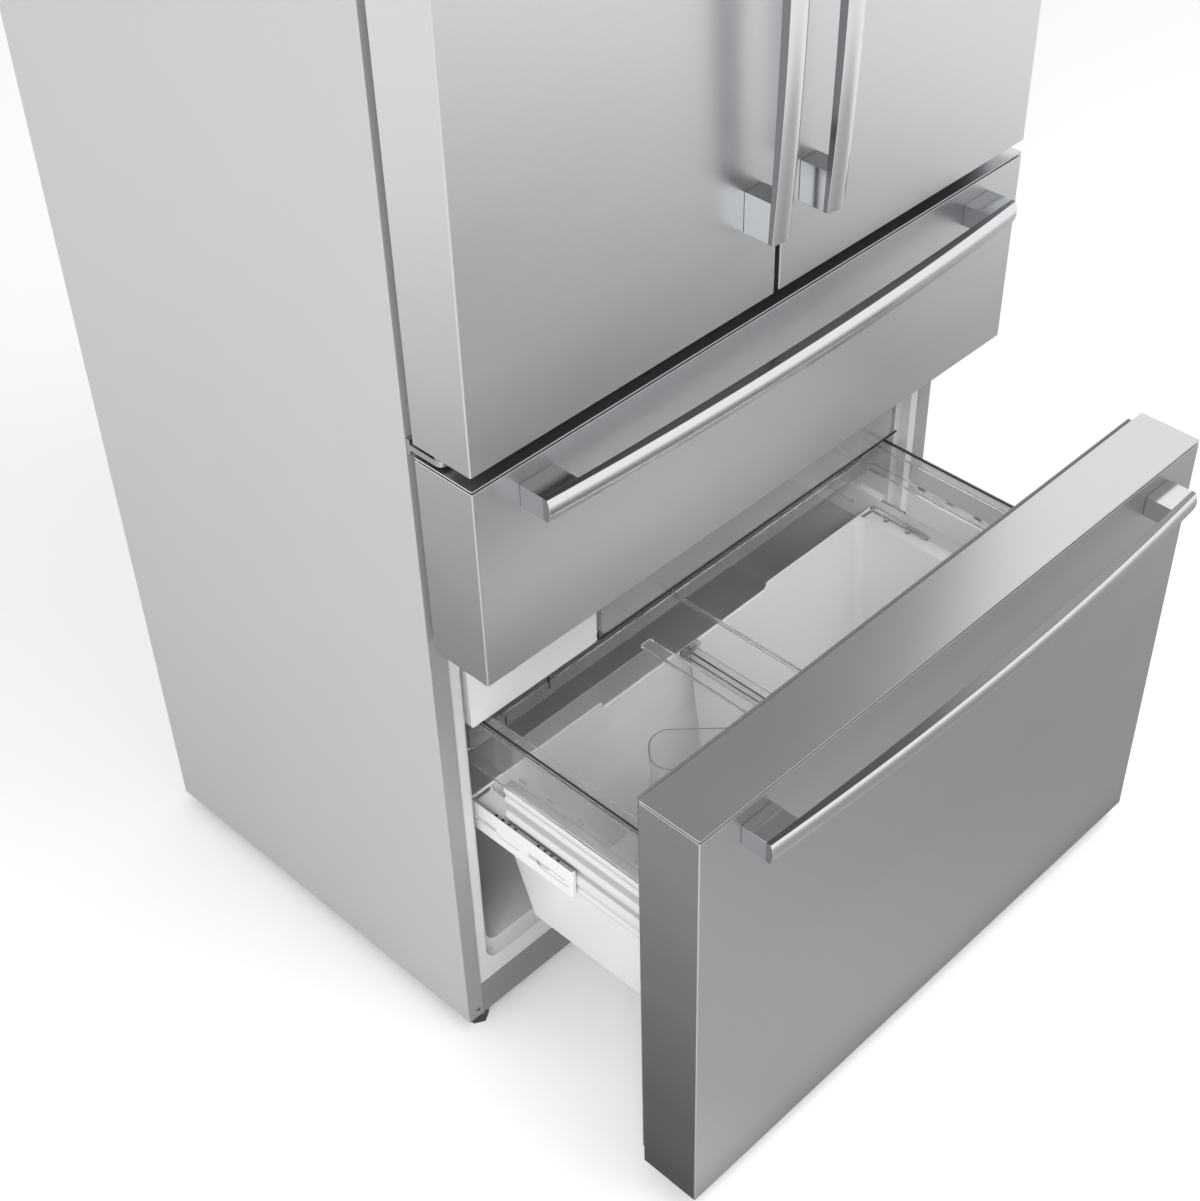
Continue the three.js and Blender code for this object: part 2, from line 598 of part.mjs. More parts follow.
// A levelling foot: a hexagon with a flat to the front, and its threaded stem.
function foot(side) {
  const pad = cylinder('z', FOOT_RADIUS, [0, CASE_BOTTOM - SEAT], [side * FOOT_X, FOOT_Y], 6);
  const stem = cylinder('z', STEM_RADIUS, [CASE_BOTTOM / 2, STEM_TOP], [side * FOOT_X, FOOT_Y]);
  return join(pad, stem);
}

function roller(side) {
  const x = side * ROLLER_X;
  const wheel = grow([x, x], ROLLER_WIDTH / 2);
  return join(
    cylinder('x', ROLLER_RADIUS, wheel, [ROLLER_Y, ROLLER_RADIUS], FINE_ROUND),
    cylinder('x', AXLE_RADIUS, grow(wheel, RUN + EAR + AXLE_END), [ROLLER_Y, ROLLER_RADIUS]));
}

add('cabinet_wrapper', cabinetWrapper(), 'paint');
add('rear_panel', rearPanel(), 'zinc');
add('insulation', insulation(), 'foam');
add('kick_plate', kickPlate(), 'framePaint');
add('base_tray', baseTray(), 'zinc');
add('machine_cover', machineCover(), 'zinc');
for (const [name, side] of SIDES) {
  add(`foot_${name}`, foot(side), 'zinc');
  add(`roller_${name}`, roller(side), 'nylon');
}

// ---- Liners ------------------------------------------------------------------------------
const SHELF_Y = [SHELF_START, LINER_REAR - SHELF_REAR];
const MIDDLE_TUB_END = LINER_REAR - MIDDLE_TUB_REAR;
const shelfLedges = SIDES.flatMap(([, side]) => [CRISPER_COVER, UPPER_SHELF].map((z) =>
  ledge(side, SHELF_Y, z)));
const tubLedges = SIDES.map(([, side]) =>
  ledge(side, [LINER_FRONT + RECESS, MIDDLE_TUB_END + LEDGE_SPARE], MIDDLE_LEDGE));
const trayLedge = ledge(1,
  [LINER_FRONT + RECESS, CEILING_FRONT + TRAY_DEPTH + TRAY_LEDGE_SPARE], TRAY_LEDGE);
add('fresh_food_liner', liner(OPENINGS.fresh, shelfLedges), 'liner');
add('middle_liner', liner(OPENINGS.middle, tubLedges), 'liner');
add('freezer_liner', liner(OPENINGS.freezer, [trayLedge]), 'liner');

// ---- Hinges ------------------------------------------------------------------------------
const PIN_HOLE = PIN_RADIUS + PIN_CLEARANCE;

function topHinge(side) {
  const z = [CASE_TOP + SEAT, CASE_TOP + SEAT + HINGE_PLATE];
  const outer = HALF - HINGE_INSET;
  const front = PIN_Y - HINGE_FRONT;
  const plate = prism(roundedRect([side * outer, side * (outer - HINGE_WIDTH)],
    [front, front + HINGE_LENGTH], HINGE_RADIUS), 'z', z);
  const pin = cylinder('z', PIN_RADIUS, [DOOR_TOP - SKIN - PIN_REACH, z[0] + PASS],
    [side * PIN_X, PIN_Y]);
  return join(plate, pin);
}

function hingeCover(side) {
  const x = sorted(side * (HALF - COVER_INSET), side * (HALF - COVER_INSET - COVER_WIDTH));
  const y = [PIN_Y - COVER_FRONT, PIN_Y - COVER_FRONT + COVER_LENGTH];
  const top = CASE_TOP + COVER_HEIGHT;
  const outer = prism(roundedRect(x, y, COVER_RADIUS), 'z', [CASE_TOP + SEAT, top]);
  const hollow = prism(roundedRect(grow(x, -COVER_WALL), grow(y, -COVER_WALL),
    COVER_RADIUS - COVER_WALL), 'z', [CASE_TOP, top - COVER_WALL]);
  return cut(outer, hollow);
}

function middleHinge(side) {
  const gap = [MIDDLE_FRONT[1], DOOR_BOTTOM];
  const x = [side * (HALF - LEG_INSET), side * (HALF - LEG_INSET - LEG_WIDTH)];
  const plateTop = DOOR_BOTTOM - HINGE_WASHER - RUN;
  const leg = block(x, [-SEAT - LEG_DEPTH, -SEAT], grow(gap, PASS));
  const plate = prism(roundedRect(x, [PIN_Y - HINGE_RADIUS, -SEAT],
    [HINGE_RADIUS, HINGE_RADIUS, 0, 0]), 'z', [plateTop - HINGE_PLATE, plateTop]);
  const washer = cylinder('z', PIN_RADIUS + WASHER_RIM, [plateTop - PASS, DOOR_BOTTOM - RUN],
    [side * PIN_X, PIN_Y]);
  const pin = cylinder('z', PIN_RADIUS, [plateTop - PASS, DOOR_BOTTOM + SKIN + PIN_REACH],
    [side * PIN_X, PIN_Y]);
  return join(leg, plate, washer, pin);
}

for (const [name, side] of SIDES) {
  add(`top_hinge_${name}`, topHinge(side), 'zinc');
  add(`hinge_cover_${name}`, hingeCover(side), 'framePaint');
  add(`middle_hinge_${name}`, middleHinge(side), 'zinc');
}

// ---- Machine compartment -----------------------------------------------------------------
const TRAY_FLOOR = CASE_BOTTOM + TRAY_SHEET + SEAT;

// The sealed pot, drawn with its suction port open, on a base plate with four rubber feet.
function compressor() {
  const bottom = TRAY_FLOOR + POT_LIFT;
  const top = bottom + POT_HEIGHT;
  const profile = (r, low, high) => {
    const path = new THREE.Path();
    path.moveTo(0, low).lineTo(r - POT_SHOULDER, low);
    path.quadraticCurveTo(r, low, r, low + POT_SHOULDER);
    path.lineTo(r, high - POT_SHOULDER);
    path.quadraticCurveTo(r, high, r - POT_SHOULDER, high).lineTo(0, high);
    return path.getPoints(ARC);
  };
  const turn = (points) => toSolid(new THREE.LatheGeometry(points, POT_ROUND)
    .rotateX(Math.PI / 2)
    .translate(COMPRESSOR_X, MACHINE_Y, 0));
  const around = (x, y) => [grow([COMPRESSOR_X, COMPRESSOR_X], x), grow([MACHINE_Y, MACHINE_Y], y)];
  const [footX, footY] = around(...POT_FEET);
  const feet = footX.flatMap((x) => footY.map((y) => cylinder('z', POT_FOOT_RADIUS,
    [TRAY_FLOOR, bottom], [x, y])));
  const plate = block(...around(...POT_BASE), [bottom - POT_BASE_SHEET / 2, bottom + POT_BASE_SHEET / 2]);
  const port = [COMPRESSOR_X, top - PORT_DROP];
  const wall = MACHINE_Y - POT_RADIUS;
  return cut(
    join(turn(profile(POT_RADIUS, bottom, top)), plate, ...feet,
      cylinder('y', PORT_RADIUS, [wall - PORT_REACH, wall + PORT_ROOT], port)),
    turn(profile(POT_RADIUS - POT_WALL, bottom + POT_WALL, top - POT_WALL)),
    cylinder('y', PORT_BORE, [wall - PORT_REACH - PASS, MACHINE_Y], port));
}

// Flat fins on tubes between two end plates: lengthwise along x or y.
function finnedCoil(axis, [from, to], across, [z0, z1], fins) {
  const along = axis === 'x'
    ? (a, b, z) => block([a, b], across, z)
    : (a, b, z) => block(across, [a, b], z);
  const pitch = (to - from - FIN) / (fins - 1);
  const plates = [];
  for (let i = 0; i < fins; i += 1) {
    const edge = i === 0 || i === fins - 1;
    const start = from + i * pitch;
    plates.push(along(start, start + FIN, edge ? [z0, z1] : [z0 + FIN_SHORT, z1 - FIN_SHORT]));
  }
  const middle = (across[0] + across[1]) / 2;
  const tubes = TUBE_SHARES.map((share) => cylinder(axis, TUBE_RADIUS, [from, to],
    [middle, z0 + share * (z1 - z0)], TUBE_SIDES));
  return join(plates[0], ...plates.slice(1), ...tubes);
}

function fanBracket() {
  const z = [TRAY_FLOOR, FAN_Z + FAN_RADIUS + BRACKET_RISE];
  const y = grow([MACHINE_Y, MACHINE_Y], COIL_LENGTH / 2);
  const x = [FAN_X - BRACKET_SHEET, FAN_X];
  const plate = cut(block(x, y, z), cylinder('x', FAN_RADIUS + BRACKET_RING, grow(x, PASS),
    [MACHINE_Y, FAN_Z], FINE_ROUND));
  return join(plate,
    block(x, grow([MACHINE_Y, MACHINE_Y], BRACKET_ARM), grow(z, -BRACKET_ARM)),
    block(x, grow(y, -BRACKET_ARM), grow([FAN_Z, FAN_Z], BRACKET_ARM)),
    cylinder('x', FAN_HUB, [FAN_X - MOTOR_LENGTH, FAN_X], [MACHINE_Y, FAN_Z]));
}

function fan() {
  const x = [FAN_X + RUN, FAN_X + RUN + FAN_DEPTH];
  let whole = cylinder('x', FAN_HUB, x, [MACHINE_Y, FAN_Z]);
  for (let i = 0; i < FAN_BLADES; i += 1) {
    const span = FAN_RADIUS - FAN_HUB + BLADE_ROOT;
    const blade = new THREE.BoxGeometry(BLADE, BLADE_CHORD, span, 1, 1, 1)
      .rotateZ(-BLADE_TURN)
      .translate(0, 0, FAN_RADIUS - span / 2)
      .rotateX((i * 2 * Math.PI) / FAN_BLADES)
      .translate((x[0] + x[1]) / 2, MACHINE_Y, FAN_Z);
    whole = join(whole, toSolid(blade));
  }
  return whole.intersect(cylinder('x', FAN_RADIUS, x, [MACHINE_Y, FAN_Z], SWEEP_ROUND));
}

add('compressor', compressor(), 'black');
add('condenser', finnedCoil('y', grow([MACHINE_Y, MACHINE_Y], COIL_LENGTH / 2),
  [CONDENSER_X, CONDENSER_X + CONDENSER_WIDTH], [TRAY_FLOOR, TRAY_FLOOR + COIL_HEIGHT],
  CONDENSER_FINS), 'aluminium');
add('fan_bracket', fanBracket(), 'zinc');
add('condenser_fan', fan(), 'nylon');

// ---- Freezer compartment -----------------------------------------------------------------
const COIL_Y = [LINER_REAR - SEAT - EVAPORATOR_DEPTH, LINER_REAR - SEAT];
add('evaporator', finnedCoil('x', both(LINER_HALF - EVAPORATOR_INSET), COIL_Y,
  [FREEZER_STEP + EVAPORATOR_LOW, FREEZER_CEILING - EVAPORATOR_HIGH], EVAPORATOR_FINS),
'aluminium');

function evaporatorCover() {
  const rear = COIL_Y[0] + SEAT - AIR_GAP;
  const y = [rear - AIR_COVER, rear];
  const plate = prism(roundedRect(both(LINER_HALF - SEAT),
    [FREEZER_STEP + SEAT, FREEZER_CEILING - SEAT], STEP_RADIUS), 'y', y);
  const slots = [];
  for (let row = 0; row < AIR_SLOT_ROWS; row += 1) {
    const top = FREEZER_CEILING - AIR_SLOT_DROP - row * AIR_SLOT_PITCH;
    for (const [, side] of SIDES) {
      slots.push(block([side * AIR_SLOT_START, side * (LINER_HALF - AIR_SLOT_END)],
        grow(y, PASS), [top - AIR_SLOT_HEIGHT, top]));
    }
  }
  return cut(plate, ...slots);
}
add('evaporator_cover', evaporatorCover(), 'white');

function iceMaker() {
  const x = [-LINER_HALF + ICE_GAP, ICE_RIGHT];
  const z = [HANGING_BOTTOM, FREEZER_CEILING - SEAT];
  const y = [CEILING_FRONT, CEILING_FRONT + ICE_DEPTH];
  const [low, high] = [ICE_RADIUS, STEP_RADIUS];
  const housing = prism(roundedRect(x, z, [low, low, 0, high]), 'y', y);
  const hollow = prism(roundedRect(grow(x, -ICE_WALL), grow(z, -ICE_WALL),
    [low - ICE_WALL, low - ICE_WALL, 0, high - ICE_WALL]), 'y', grow(y, -ICE_WALL));
  const middle = (x[0] + x[1]) / 2;
  const chute = block(grow([middle, middle], CHUTE_HALF), [y[0] + CHUTE_Y[0], y[0] + CHUTE_Y[1]],
    [z[0] - PASS, z[0] + ICE_WALL + PASS]);
  const rail = block([ICE_RIGHT - PASS, ICE_RIGHT + ICE_RAIL], y,
    [TRAY_LEDGE - LEDGE_HEIGHT, TRAY_LEDGE]);
  return join(cut(housing, hollow, chute), rail);
}
add('ice_maker', iceMaker(), 'white');

// The clear tray at the top of the freezer, hung by its rims on the two ledges.
function upperTray() {
  const x = [ICE_RIGHT + ICE_RAIL + BESIDE_LEDGE, LINER_HALF - LEDGE - BESIDE_LEDGE];
  const y = [CEILING_FRONT, CEILING_FRONT + TRAY_DEPTH];
  const z = [HANGING_BOTTOM, HANGING_BOTTOM + TRAY_HEIGHT];
  const hollow = [z[0] + BIN_WALL, z[1] + PASS];
  const round = TRAY_RADIUS - BIN_WALL;
  const box = cut(prism(roundedRect(x, z, [TRAY_RADIUS, TRAY_RADIUS, 0, 0]), 'y', y),
    prism(roundedRect(grow(x, -BIN_WALL), hollow, [round, round, 0, 0]), 'y',
      grow(y, -BIN_WALL)));
  const rim = [TRAY_LEDGE + RUN, TRAY_LEDGE + RUN + TRAY_RIM];
  return join(box,
    block([ICE_RIGHT + SEAT + RUN, x[0] + PASS], y, rim),
    block([x[1] - PASS, LINER_HALF - PASS], y, rim));
}
add('freezer_upper_tray', upperTray(), 'clear');

// ---- Fresh food compartment --------------------------------------------------------------
function shelf(z) {
  const x = both(LINER_HALF - SEAT);
  return join(
    block(x, SHELF_Y, [z + SEAT, z + SEAT + SHELF_GLASS]),
    block(x, [SHELF_Y[0] - SHELF_EDGE, SHELF_Y[0]],
      [z - SHELF_EDGE_DROP, z + SEAT + SHELF_GLASS + SHELF_EDGE_RISE]));
}
add('glass_shelf', shelf(UPPER_SHELF), 'glass');
add('crisper_cover', shelf(CRISPER_COVER), 'glass');

function crisper(side) {
  const z = [FRESH_FLOOR + SEAT, FRESH_FLOOR + SEAT + CRISPER_HEIGHT];
  const top = {
    x: sorted(side * (CRISPER_GAP / 2), side * (LINER_HALF - LEDGE - BESIDE_LEDGE)),
    y: [SHELF_START - CRISPER_LEAD, LINER_REAR - CRISPER_REAR],
  };
  const low = {
    x: sorted(side * CRISPER_GAP, side * (LINER_HALF - STEP_RADIUS - CRISPER_CORNER)),
    y: grow(top.y, -CRISPER_TAPER),
  };
  return tub(low, top, z, CRISPER_RADIUS);
}
for (const [name, side] of SIDES) add(`crisper_${name}`, crisper(side), 'clear');

// ---- Doors -------------------------------------------------------------------------------
// The stainless pan of a door or drawer front, open at the back.
function skin(x, z) {
  const shape = roundedRect(x, [FRONT_FACE, REAR_FACE], [FRONT_RADIUS, FRONT_RADIUS, 0, 0]);
  return cut(prism(shape, 'z', z),
    block(grow(x, -SKIN), [FRONT_FACE + SKIN, REAR_FACE + PASS], grow(z, -SKIN)));
}

// The plastic panel that closes the pan from the back.
function panel(x, z) {
  return block(grow(x, -SKIN - SEAT), [REAR_FACE - SEAT - INNER_PANEL, REAR_FACE - SEAT],
    grow(z, -SKIN - SEAT));
}

function gasket(x, z) {
  const y = [REAR_FACE, -SEAT];
  return cut(block(grow(x, -GASKET_INSET), y, grow(z, -GASKET_INSET)),
    block(grow(x, -GASKET_INSET - GASKET_WIDTH), grow(y, PASS),
      grow(z, -GASKET_INSET - GASKET_WIDTH)));
}

// A closed skin through sections with the same number of points, which run round their rims.
function loft(sections) {
  const size = sections[0].length;
  const triangles = [];
  for (let row = 0; row + 1 < sections.length; row += 1) {
    for (let i = 0; i < size; i += 1) {
      const [a, b] = [row * size + i, row * size + (i + 1) % size];
      triangles.push(a, a + size, b, b, a + size, b + size);
    }
  }
  const last = (sections.length - 1) * size;
  for (let i = 1; i + 1 < size; i += 1) {
    triangles.push(0, i, i + 1, last, last + i + 1, last + i);
  }
  const geometry = new THREE.BufferGeometry();
  geometry.setAttribute('position', new THREE.Float32BufferAttribute(sections.flat(2), 3));
  geometry.setIndex(triangles);
  return toSolid(geometry);
}

// One section of a bar at x, whose front stands out by bow and has a rounded face.
function barSection(x, bow) {
  const top = HANDLE_BAR / 2;
  const back = -HANDLE_STANDOFF - BACK_BOW * bow;
  const flat = -HANDLE_STANDOFF - HANDLE_FLAT - bow;
  const points = [[x, back, top], [x, back, -top]];
  for (let i = 0; i <= BULGE_SEGMENTS; i += 1) {
    const t = (2 * i) / BULGE_SEGMENTS - 1;
    points.push([x, flat - HANDLE_BULGE * (1 - t * t), t * top]);
  }
  return points;
}

// A bowed bar with a rounded front on two posts. It is drawn along x, then turned.
function handle(length, bow) {
  const top = HANDLE_BAR / 2;
  const sections = [];
  for (let i = 0; i <= BOW_SEGMENTS; i += 1) {
    const t = (2 * i) / BOW_SEGMENTS - 1;
    sections.push(barSection((t * length) / 2, bow * (1 - t * t)));
  }
  const posts = [-1, 1].map((side) => block(
    [side * (length / 2), side * (length / 2 - HANDLE_POST)],
    [-HANDLE_STANDOFF - HANDLE_FLAT / 2, -SEAT], [-top, top]));
  return join(loft(sections), ...posts);
}

const placed = (solid, matrix) => {
  const geometry = toGeometry(solid);
  geometry.deleteAttribute('normal');
  geometry.applyMatrix4(matrix);
  return toSolid(geometry);
};
const drawerHandle = (top) => placed(handle(WIDTH - 2 * HANDLE_INSET, DRAWER_BOW),
  new THREE.Matrix4().makeTranslation(0, FRONT_FACE, top - HANDLE_DROP - HANDLE_BAR / 2));
const [HANDLE_LOW, HANDLE_HIGH] = [DOOR_BOTTOM + DOOR_HANDLE_LOW, DOOR_TOP - DOOR_HANDLE_HIGH];
const doorHandle = (side) => placed(handle(HANDLE_HIGH - HANDLE_LOW, DOOR_BOW),
  new THREE.Matrix4().makeTranslation(side * DOOR_HANDLE_X, FRONT_FACE,
    (HANDLE_LOW + HANDLE_HIGH) / 2).multiply(new THREE.Matrix4().makeRotationY(Math.PI / 2)));

const DOOR_Z = [DOOR_BOTTOM, DOOR_TOP];
const DYKE_Z = [FRESH_FLOOR + DYKE_GAP, FRESH_CEILING - DYKE_GAP];
const doorX = (side) => sorted(side * HALF, side * (CENTRE_GAP / 2));
const dykeX = (side) => sorted(side * (HALF - DYKE_SIDE), side * (CENTRE_GAP / 2 + DYKE_INNER));

function doorSkin(side) {
  const hole = (z) => cylinder('z', PIN_HOLE, z, [side * PIN_X, PIN_Y]);
  return cut(skin(doorX(side), DOOR_Z), hole(grow([DOOR_BOTTOM, DOOR_BOTTOM + SKIN], PASS)),
    hole(grow([DOOR_TOP - SKIN, DOOR_TOP], PASS)));
}

function doorPanel(side) {
  const x = dykeX(side);
  const y = [REAR_FACE - INNER_PANEL, REAR_FACE + DYKE_DEPTH];
  const dyke = cut(
    prism(roundedRect(x, DYKE_Z, DYKE_RADIUS), 'y', y),
    block(grow(x, -DYKE_WALL), [REAR_FACE - SEAT, y[1] + PASS], grow(DYKE_Z, -DYKE_WALL)));
  return join(panel(doorX(side), DOOR_Z), dyke);
}

function doorBin(side) {
  const x = grow(dykeX(side), -DYKE_WALL - SEAT);
  const y = [REAR_FACE, DOOR_BIN_REACH];
  return tub({ x, y: [y[0], y[1] - DOOR_BIN_TAPER] }, { x, y }, DOOR_BIN, DOOR_BIN_RADIUS);
}

for (const [name, side] of SIDES) {
  add(`door_skin_${name}`, doorSkin(side), 'stainless');
  add(`door_panel_${name}`, doorPanel(side), 'liner');
  add(`door_gasket_${name}`, gasket(doorX(side), DOOR_Z), 'rubber');
  add(`door_handle_${name}`, doorHandle(side), 'handle');
  add(`door_bin_${name}`, doorBin(side), 'clear');
}

// The bar that closes the gap behind the doors, drawn folded back against the left door.
function flipMullion() {
  const near = FLIP_WIDTH / 2 + FLIP_AXIS_X;
  const y = FLIP_DEPTH / 2 + RUN;
  return block([FLIP_AXIS_X - FLIP_DEPTH / 2, FLIP_AXIS_X + FLIP_DEPTH / 2],
    [y - near, y - near + FLIP_WIDTH], grow(DYKE_Z, -FLIP_GAP));
}
add('flip_mullion', flipMullion(), 'framePaint');

// ---- Middle drawer -----------------------------------------------------------------------
const DRAWER_X = both(HALF);
add('middle_drawer_skin', skin(DRAWER_X, MIDDLE_FRONT), 'stainless');
add('middle_drawer_handle', drawerHandle(MIDDLE_FRONT[1]), 'handle');
add('middle_drawer_gasket', gasket(DRAWER_X, MIDDLE_FRONT), 'rubber');

// The inner panel of a drawer front, with the raised pad that the drawer is fixed to.
function drawerPanel(z) {
  const pad = roundedRect(both(LINER_HALF - PAD_SIDE),
    grow(z, -GASKET_INSET - GASKET_WIDTH - PAD_GAP), PAD_RADIUS);
  return join(panel(DRAWER_X, z), prism(pad, 'y', [REAR_FACE - INNER_PANEL, REAR_FACE + PAD]));
}
add('middle_drawer_panel', drawerPanel(MIDDLE_FRONT), 'liner');

const DRAWER_START = REAR_FACE + PAD + SEAT;

function middleTub() {
  const half = LINER_HALF - LEDGE - BESIDE_LEDGE;
  const y = [DRAWER_START, MIDDLE_TUB_END];
  const [side, rear] = MIDDLE_TUB_TAPER;
  const low = { x: both(half - side), y: [y[0], y[1] - rear] };
  const top = { x: both(half), y };
  const runner = [MIDDLE_LEDGE + RUN, MIDDLE_LEDGE + RUN + RUNNER];
  const runners = SIDES.map(([, sign]) => block(
    [sign * (half - RUNNER_ROOT), sign * (LINER_HALF - RUN)], y, runner));
  return tub(low, top, MIDDLE_TUB, MIDDLE_TUB_RADIUS, runners);
}
add('middle_drawer_tub', middleTub(), 'white');

// ---- Freezer drawer ----------------------------------------------------------------------
// Its pieces are drawn as if it were closed, and the whole drawer is then moved out.
add('freezer_drawer_skin', skin(DRAWER_X, FREEZER_FRONT), 'stainless', freezerDrawer);
add('freezer_drawer_handle', drawerHandle(FREEZER_FRONT[1]), 'handle', freezerDrawer);
add('freezer_drawer_gasket', gasket(DRAWER_X, FREEZER_FRONT), 'rubber', freezerDrawer);
add('freezer_drawer_panel', drawerPanel(FREEZER_FRONT), 'liner', freezerDrawer);

const RAIL_OUT = LINER_HALF - SEAT;
const RAIL_IN = RAIL_OUT - RAIL_DEPTH;
const MEMBER = [RAIL_IN + RUN, RAIL_OUT - RAIL_WALL - RUN];
const PROFILE_LEDGE = [TUB_RIM - TUB_FLANGE - PROFILE_LEDGE_HEIGHT, TUB_RIM - TUB_FLANGE];

// The fixed channel on the freezer wall, with its front bracket.
function fixedRail(side) {
  const front = LINER_FRONT + RECESS + LINER + RAIL_START;
  const y = [front, front + RAIL_LENGTH];
  const channel = cut(
    block([side * RAIL_IN, side * RAIL_OUT], y, [RAIL_BOTTOM, RAIL_TOP]),
    block([side * (RAIL_IN - PASS), side * (RAIL_OUT - RAIL_WALL)], grow(y, PASS),
      grow([RAIL_BOTTOM, RAIL_TOP], -RAIL_WALL)));
  const bracket = block([side * RAIL_OUT, side * (RAIL_OUT - RAIL_WALL)],
    [front, front + RAIL_BRACKET], [RAIL_BOTTOM - RAIL_BRACKET_DROP, RAIL_TOP + RAIL_BRACKET_RISE]);
  return join(channel, bracket);
}

// The member between the channel and the drawer profile. It travels half as far as the drawer.
function slideMember(side) {
  const z = grow([RAIL_BOTTOM, RAIL_TOP], -RAIL_WALL - RUN);
  const x = sorted(side * MEMBER[0], side * MEMBER[1]);
  const slots = SLIDE_SLOTS.map((share) => block(grow(x, PASS),
    grow([share * SLIDE_LENGTH, share * SLIDE_LENGTH], SLIDE_SLOT_HALF),
    [z[0] + SLIDE_SLOT_Z[0], z[0] + SLIDE_SLOT_Z[1]]));
  return cut(block(x, [0, SLIDE_LENGTH], z), ...slots);
}

// The white profile fixed to the drawer front: a rounded head, a leg and a ledge for the tub.
function drawerProfile(side) {
  const out = side * RAIL_IN;
  const head = roundedRect([out, out - side * PROFILE_HEAD],
    [RAIL_TOP + PROFILE_HEAD_LIFT, PROFILE_TOP], [0, 0, PROFILE_HEAD / 2, PROFILE_HEAD / 2]);
  const y = [DRAWER_START, SLIDE_LENGTH - PROFILE_SHORT];
  return join(
    prism(head, 'y', y),
    block([out, out - side * PROFILE_LEG], y,
      [RAIL_BOTTOM + PROFILE_LEG_LIFT, RAIL_TOP + PROFILE_HEAD_LIFT + PASS]),
    block([out - side * PASS, out - side * (PROFILE_HEAD + PROFILE_LEDGE_REACH)], y,
      PROFILE_LEDGE));
}

function clearFrame() {
  const half = LINER_HALF - FRAME_INSET;
  const y = [DRAWER_START, FREEZER_DEPTH_LOW + DRAWER_DEPTH];
  const z = [PROFILE_TOP + SEAT, FRAME_TOP];
  const [stepDepth, stepHeight] = FRAME_STEP;
  const inside = block(both(half - FRAME_WALL), grow(y, -FRAME_WALL),
    [z[0] - PASS, z[1] - FRAME_WALL]);
  const mouth = block(both(half - FRAME_LIP), grow(y, -FRAME_LIP_REAR), grow(z, PASS));
  const hooks = SIDES.map(([, side]) => block([side * (half - PASS), side * RAIL_IN],
    y, [z[0], z[0] + FRAME_HOOK]));
  const ring = cut(prism(roundedRect(both(half), y, FRAME_RADIUS), 'z', z), inside, mouth);
  const rearStep = block(both(half - FRAME_LIP),
    [y[1] - FRAME_WALL - stepDepth, y[1] + PASS], [z[0] + stepHeight, z[1] + PASS]);
  return cut(join(ring, ...hooks), rearStep);
}

const TUB_Y = [DRAWER_START + TUB_START, FREEZER_DEPTH_LOW + TUB_REAR];
const TUB_LOW = {
  x: both(LINER_HALF - TUB_BOTTOM_INSET),
  y: [TUB_Y[0] + TUB_TAPER[0], TUB_Y[1] - TUB_TAPER[1]],
};
const TUB_HIGH = { x: both(LINER_HALF - TUB_TOP_INSET), y: TUB_Y };

function freezerTub() {
  const lip = PROFILE_LEDGE[1] + SEAT;
  const flanges = SIDES.map(([, side]) => block(
    [side * (TUB_HIGH.x[1] - TUB_FLANGE_ROOT), side * (RAIL_IN - PROFILE_LEG - RUN)],
    grow(TUB_Y, -TUB_FLANGE_SHORT), [lip, TUB_RIM]));
  const [depth, height] = TUB_NOTCH_DEPTH;
  const notch = block(both(TUB_NOTCH), [TUB_Y[1] - depth, TUB_Y[1] + PASS],
    [TUB_RIM - height, TUB_RIM + PASS]);
  return cut(tub(TUB_LOW, TUB_HIGH, [TUB_BOTTOM, TUB_RIM], TUB_RADIUS, flanges), notch);
}

// The clear wall across the middle of the tub, with a bar along its top.
function tubDivider() {
  const floor = TUB_BOTTOM + BIN_WALL + SEAT;
  const top = TUB_RIM - DIVIDER_DROP;
  const share = (top - TUB_BOTTOM) / (TUB_RIM - TUB_BOTTOM);
  const front = (t) => TUB_LOW.y[0] + (TUB_HIGH.y[0] - TUB_LOW.y[0]) * t + DIVIDER_GAP;
  const rear = (t) => TUB_LOW.y[1] + (TUB_HIGH.y[1] - TUB_LOW.y[1]) * t - DIVIDER_GAP;
  const sheet = prism(polygon([[front(0), floor], [rear(0), floor], [rear(share), top],
    [front(share), top]]), 'x', both(DIVIDER / 2));
  const [half, height] = DIVIDER_BAR;
  return join(sheet, block(both(half), [front(share), rear(share)], [top - height, top]));
}

add('freezer_clear_frame', clearFrame(), 'clear', freezerDrawer);
add('freezer_tub', freezerTub(), 'white', freezerDrawer);
add('tub_divider', tubDivider(), 'clear', freezerDrawer);
for (const [name, side] of SIDES) {
  add(`freezer_rail_${name}`, fixedRail(side), 'white');
  add(`slide_member_${name}`, slideMember(side), 'white', slideMembers);
  add(`drawer_profile_${name}`, drawerProfile(side), 'white', freezerDrawer);
}

// ---- Whole refrigerator ------------------------------------------------------------------
freezerDrawer.position.y = -FREEZER_OPEN;
slideMembers.position.y = -FREEZER_OPEN / 2;
doorsAndCabinet.add(freezerDrawer, slideMembers);
const frontmost = FRONT_FACE - HANDLE_REACH - FREEZER_OPEN;
doorsAndCabinet.position.y = -(frontmost + CASE_DEPTH) / 2;
fridge.add(doorsAndCabinet);

export default fridge;
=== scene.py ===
# %% [markdown]
# # A four-door refrigerator with its freezer drawer open
#
# The real object is a free-standing steel-fronted refrigerator: two upper doors, a shallow
# middle drawer and a deep freezer drawer that stands open. Its measured solids come packed
# as a fixed frame, and this lesson dresses that frame: every visible surface gets a finish,
# and the pieces seen closest are rebuilt with the folds, rounds and fittings of real sheet
# metal and moulded plastic. We load the frame first, because every size below is read from it.

# %% Load the frame
import json
import math

import bmesh
import bpy
from mathutils import Matrix, Vector

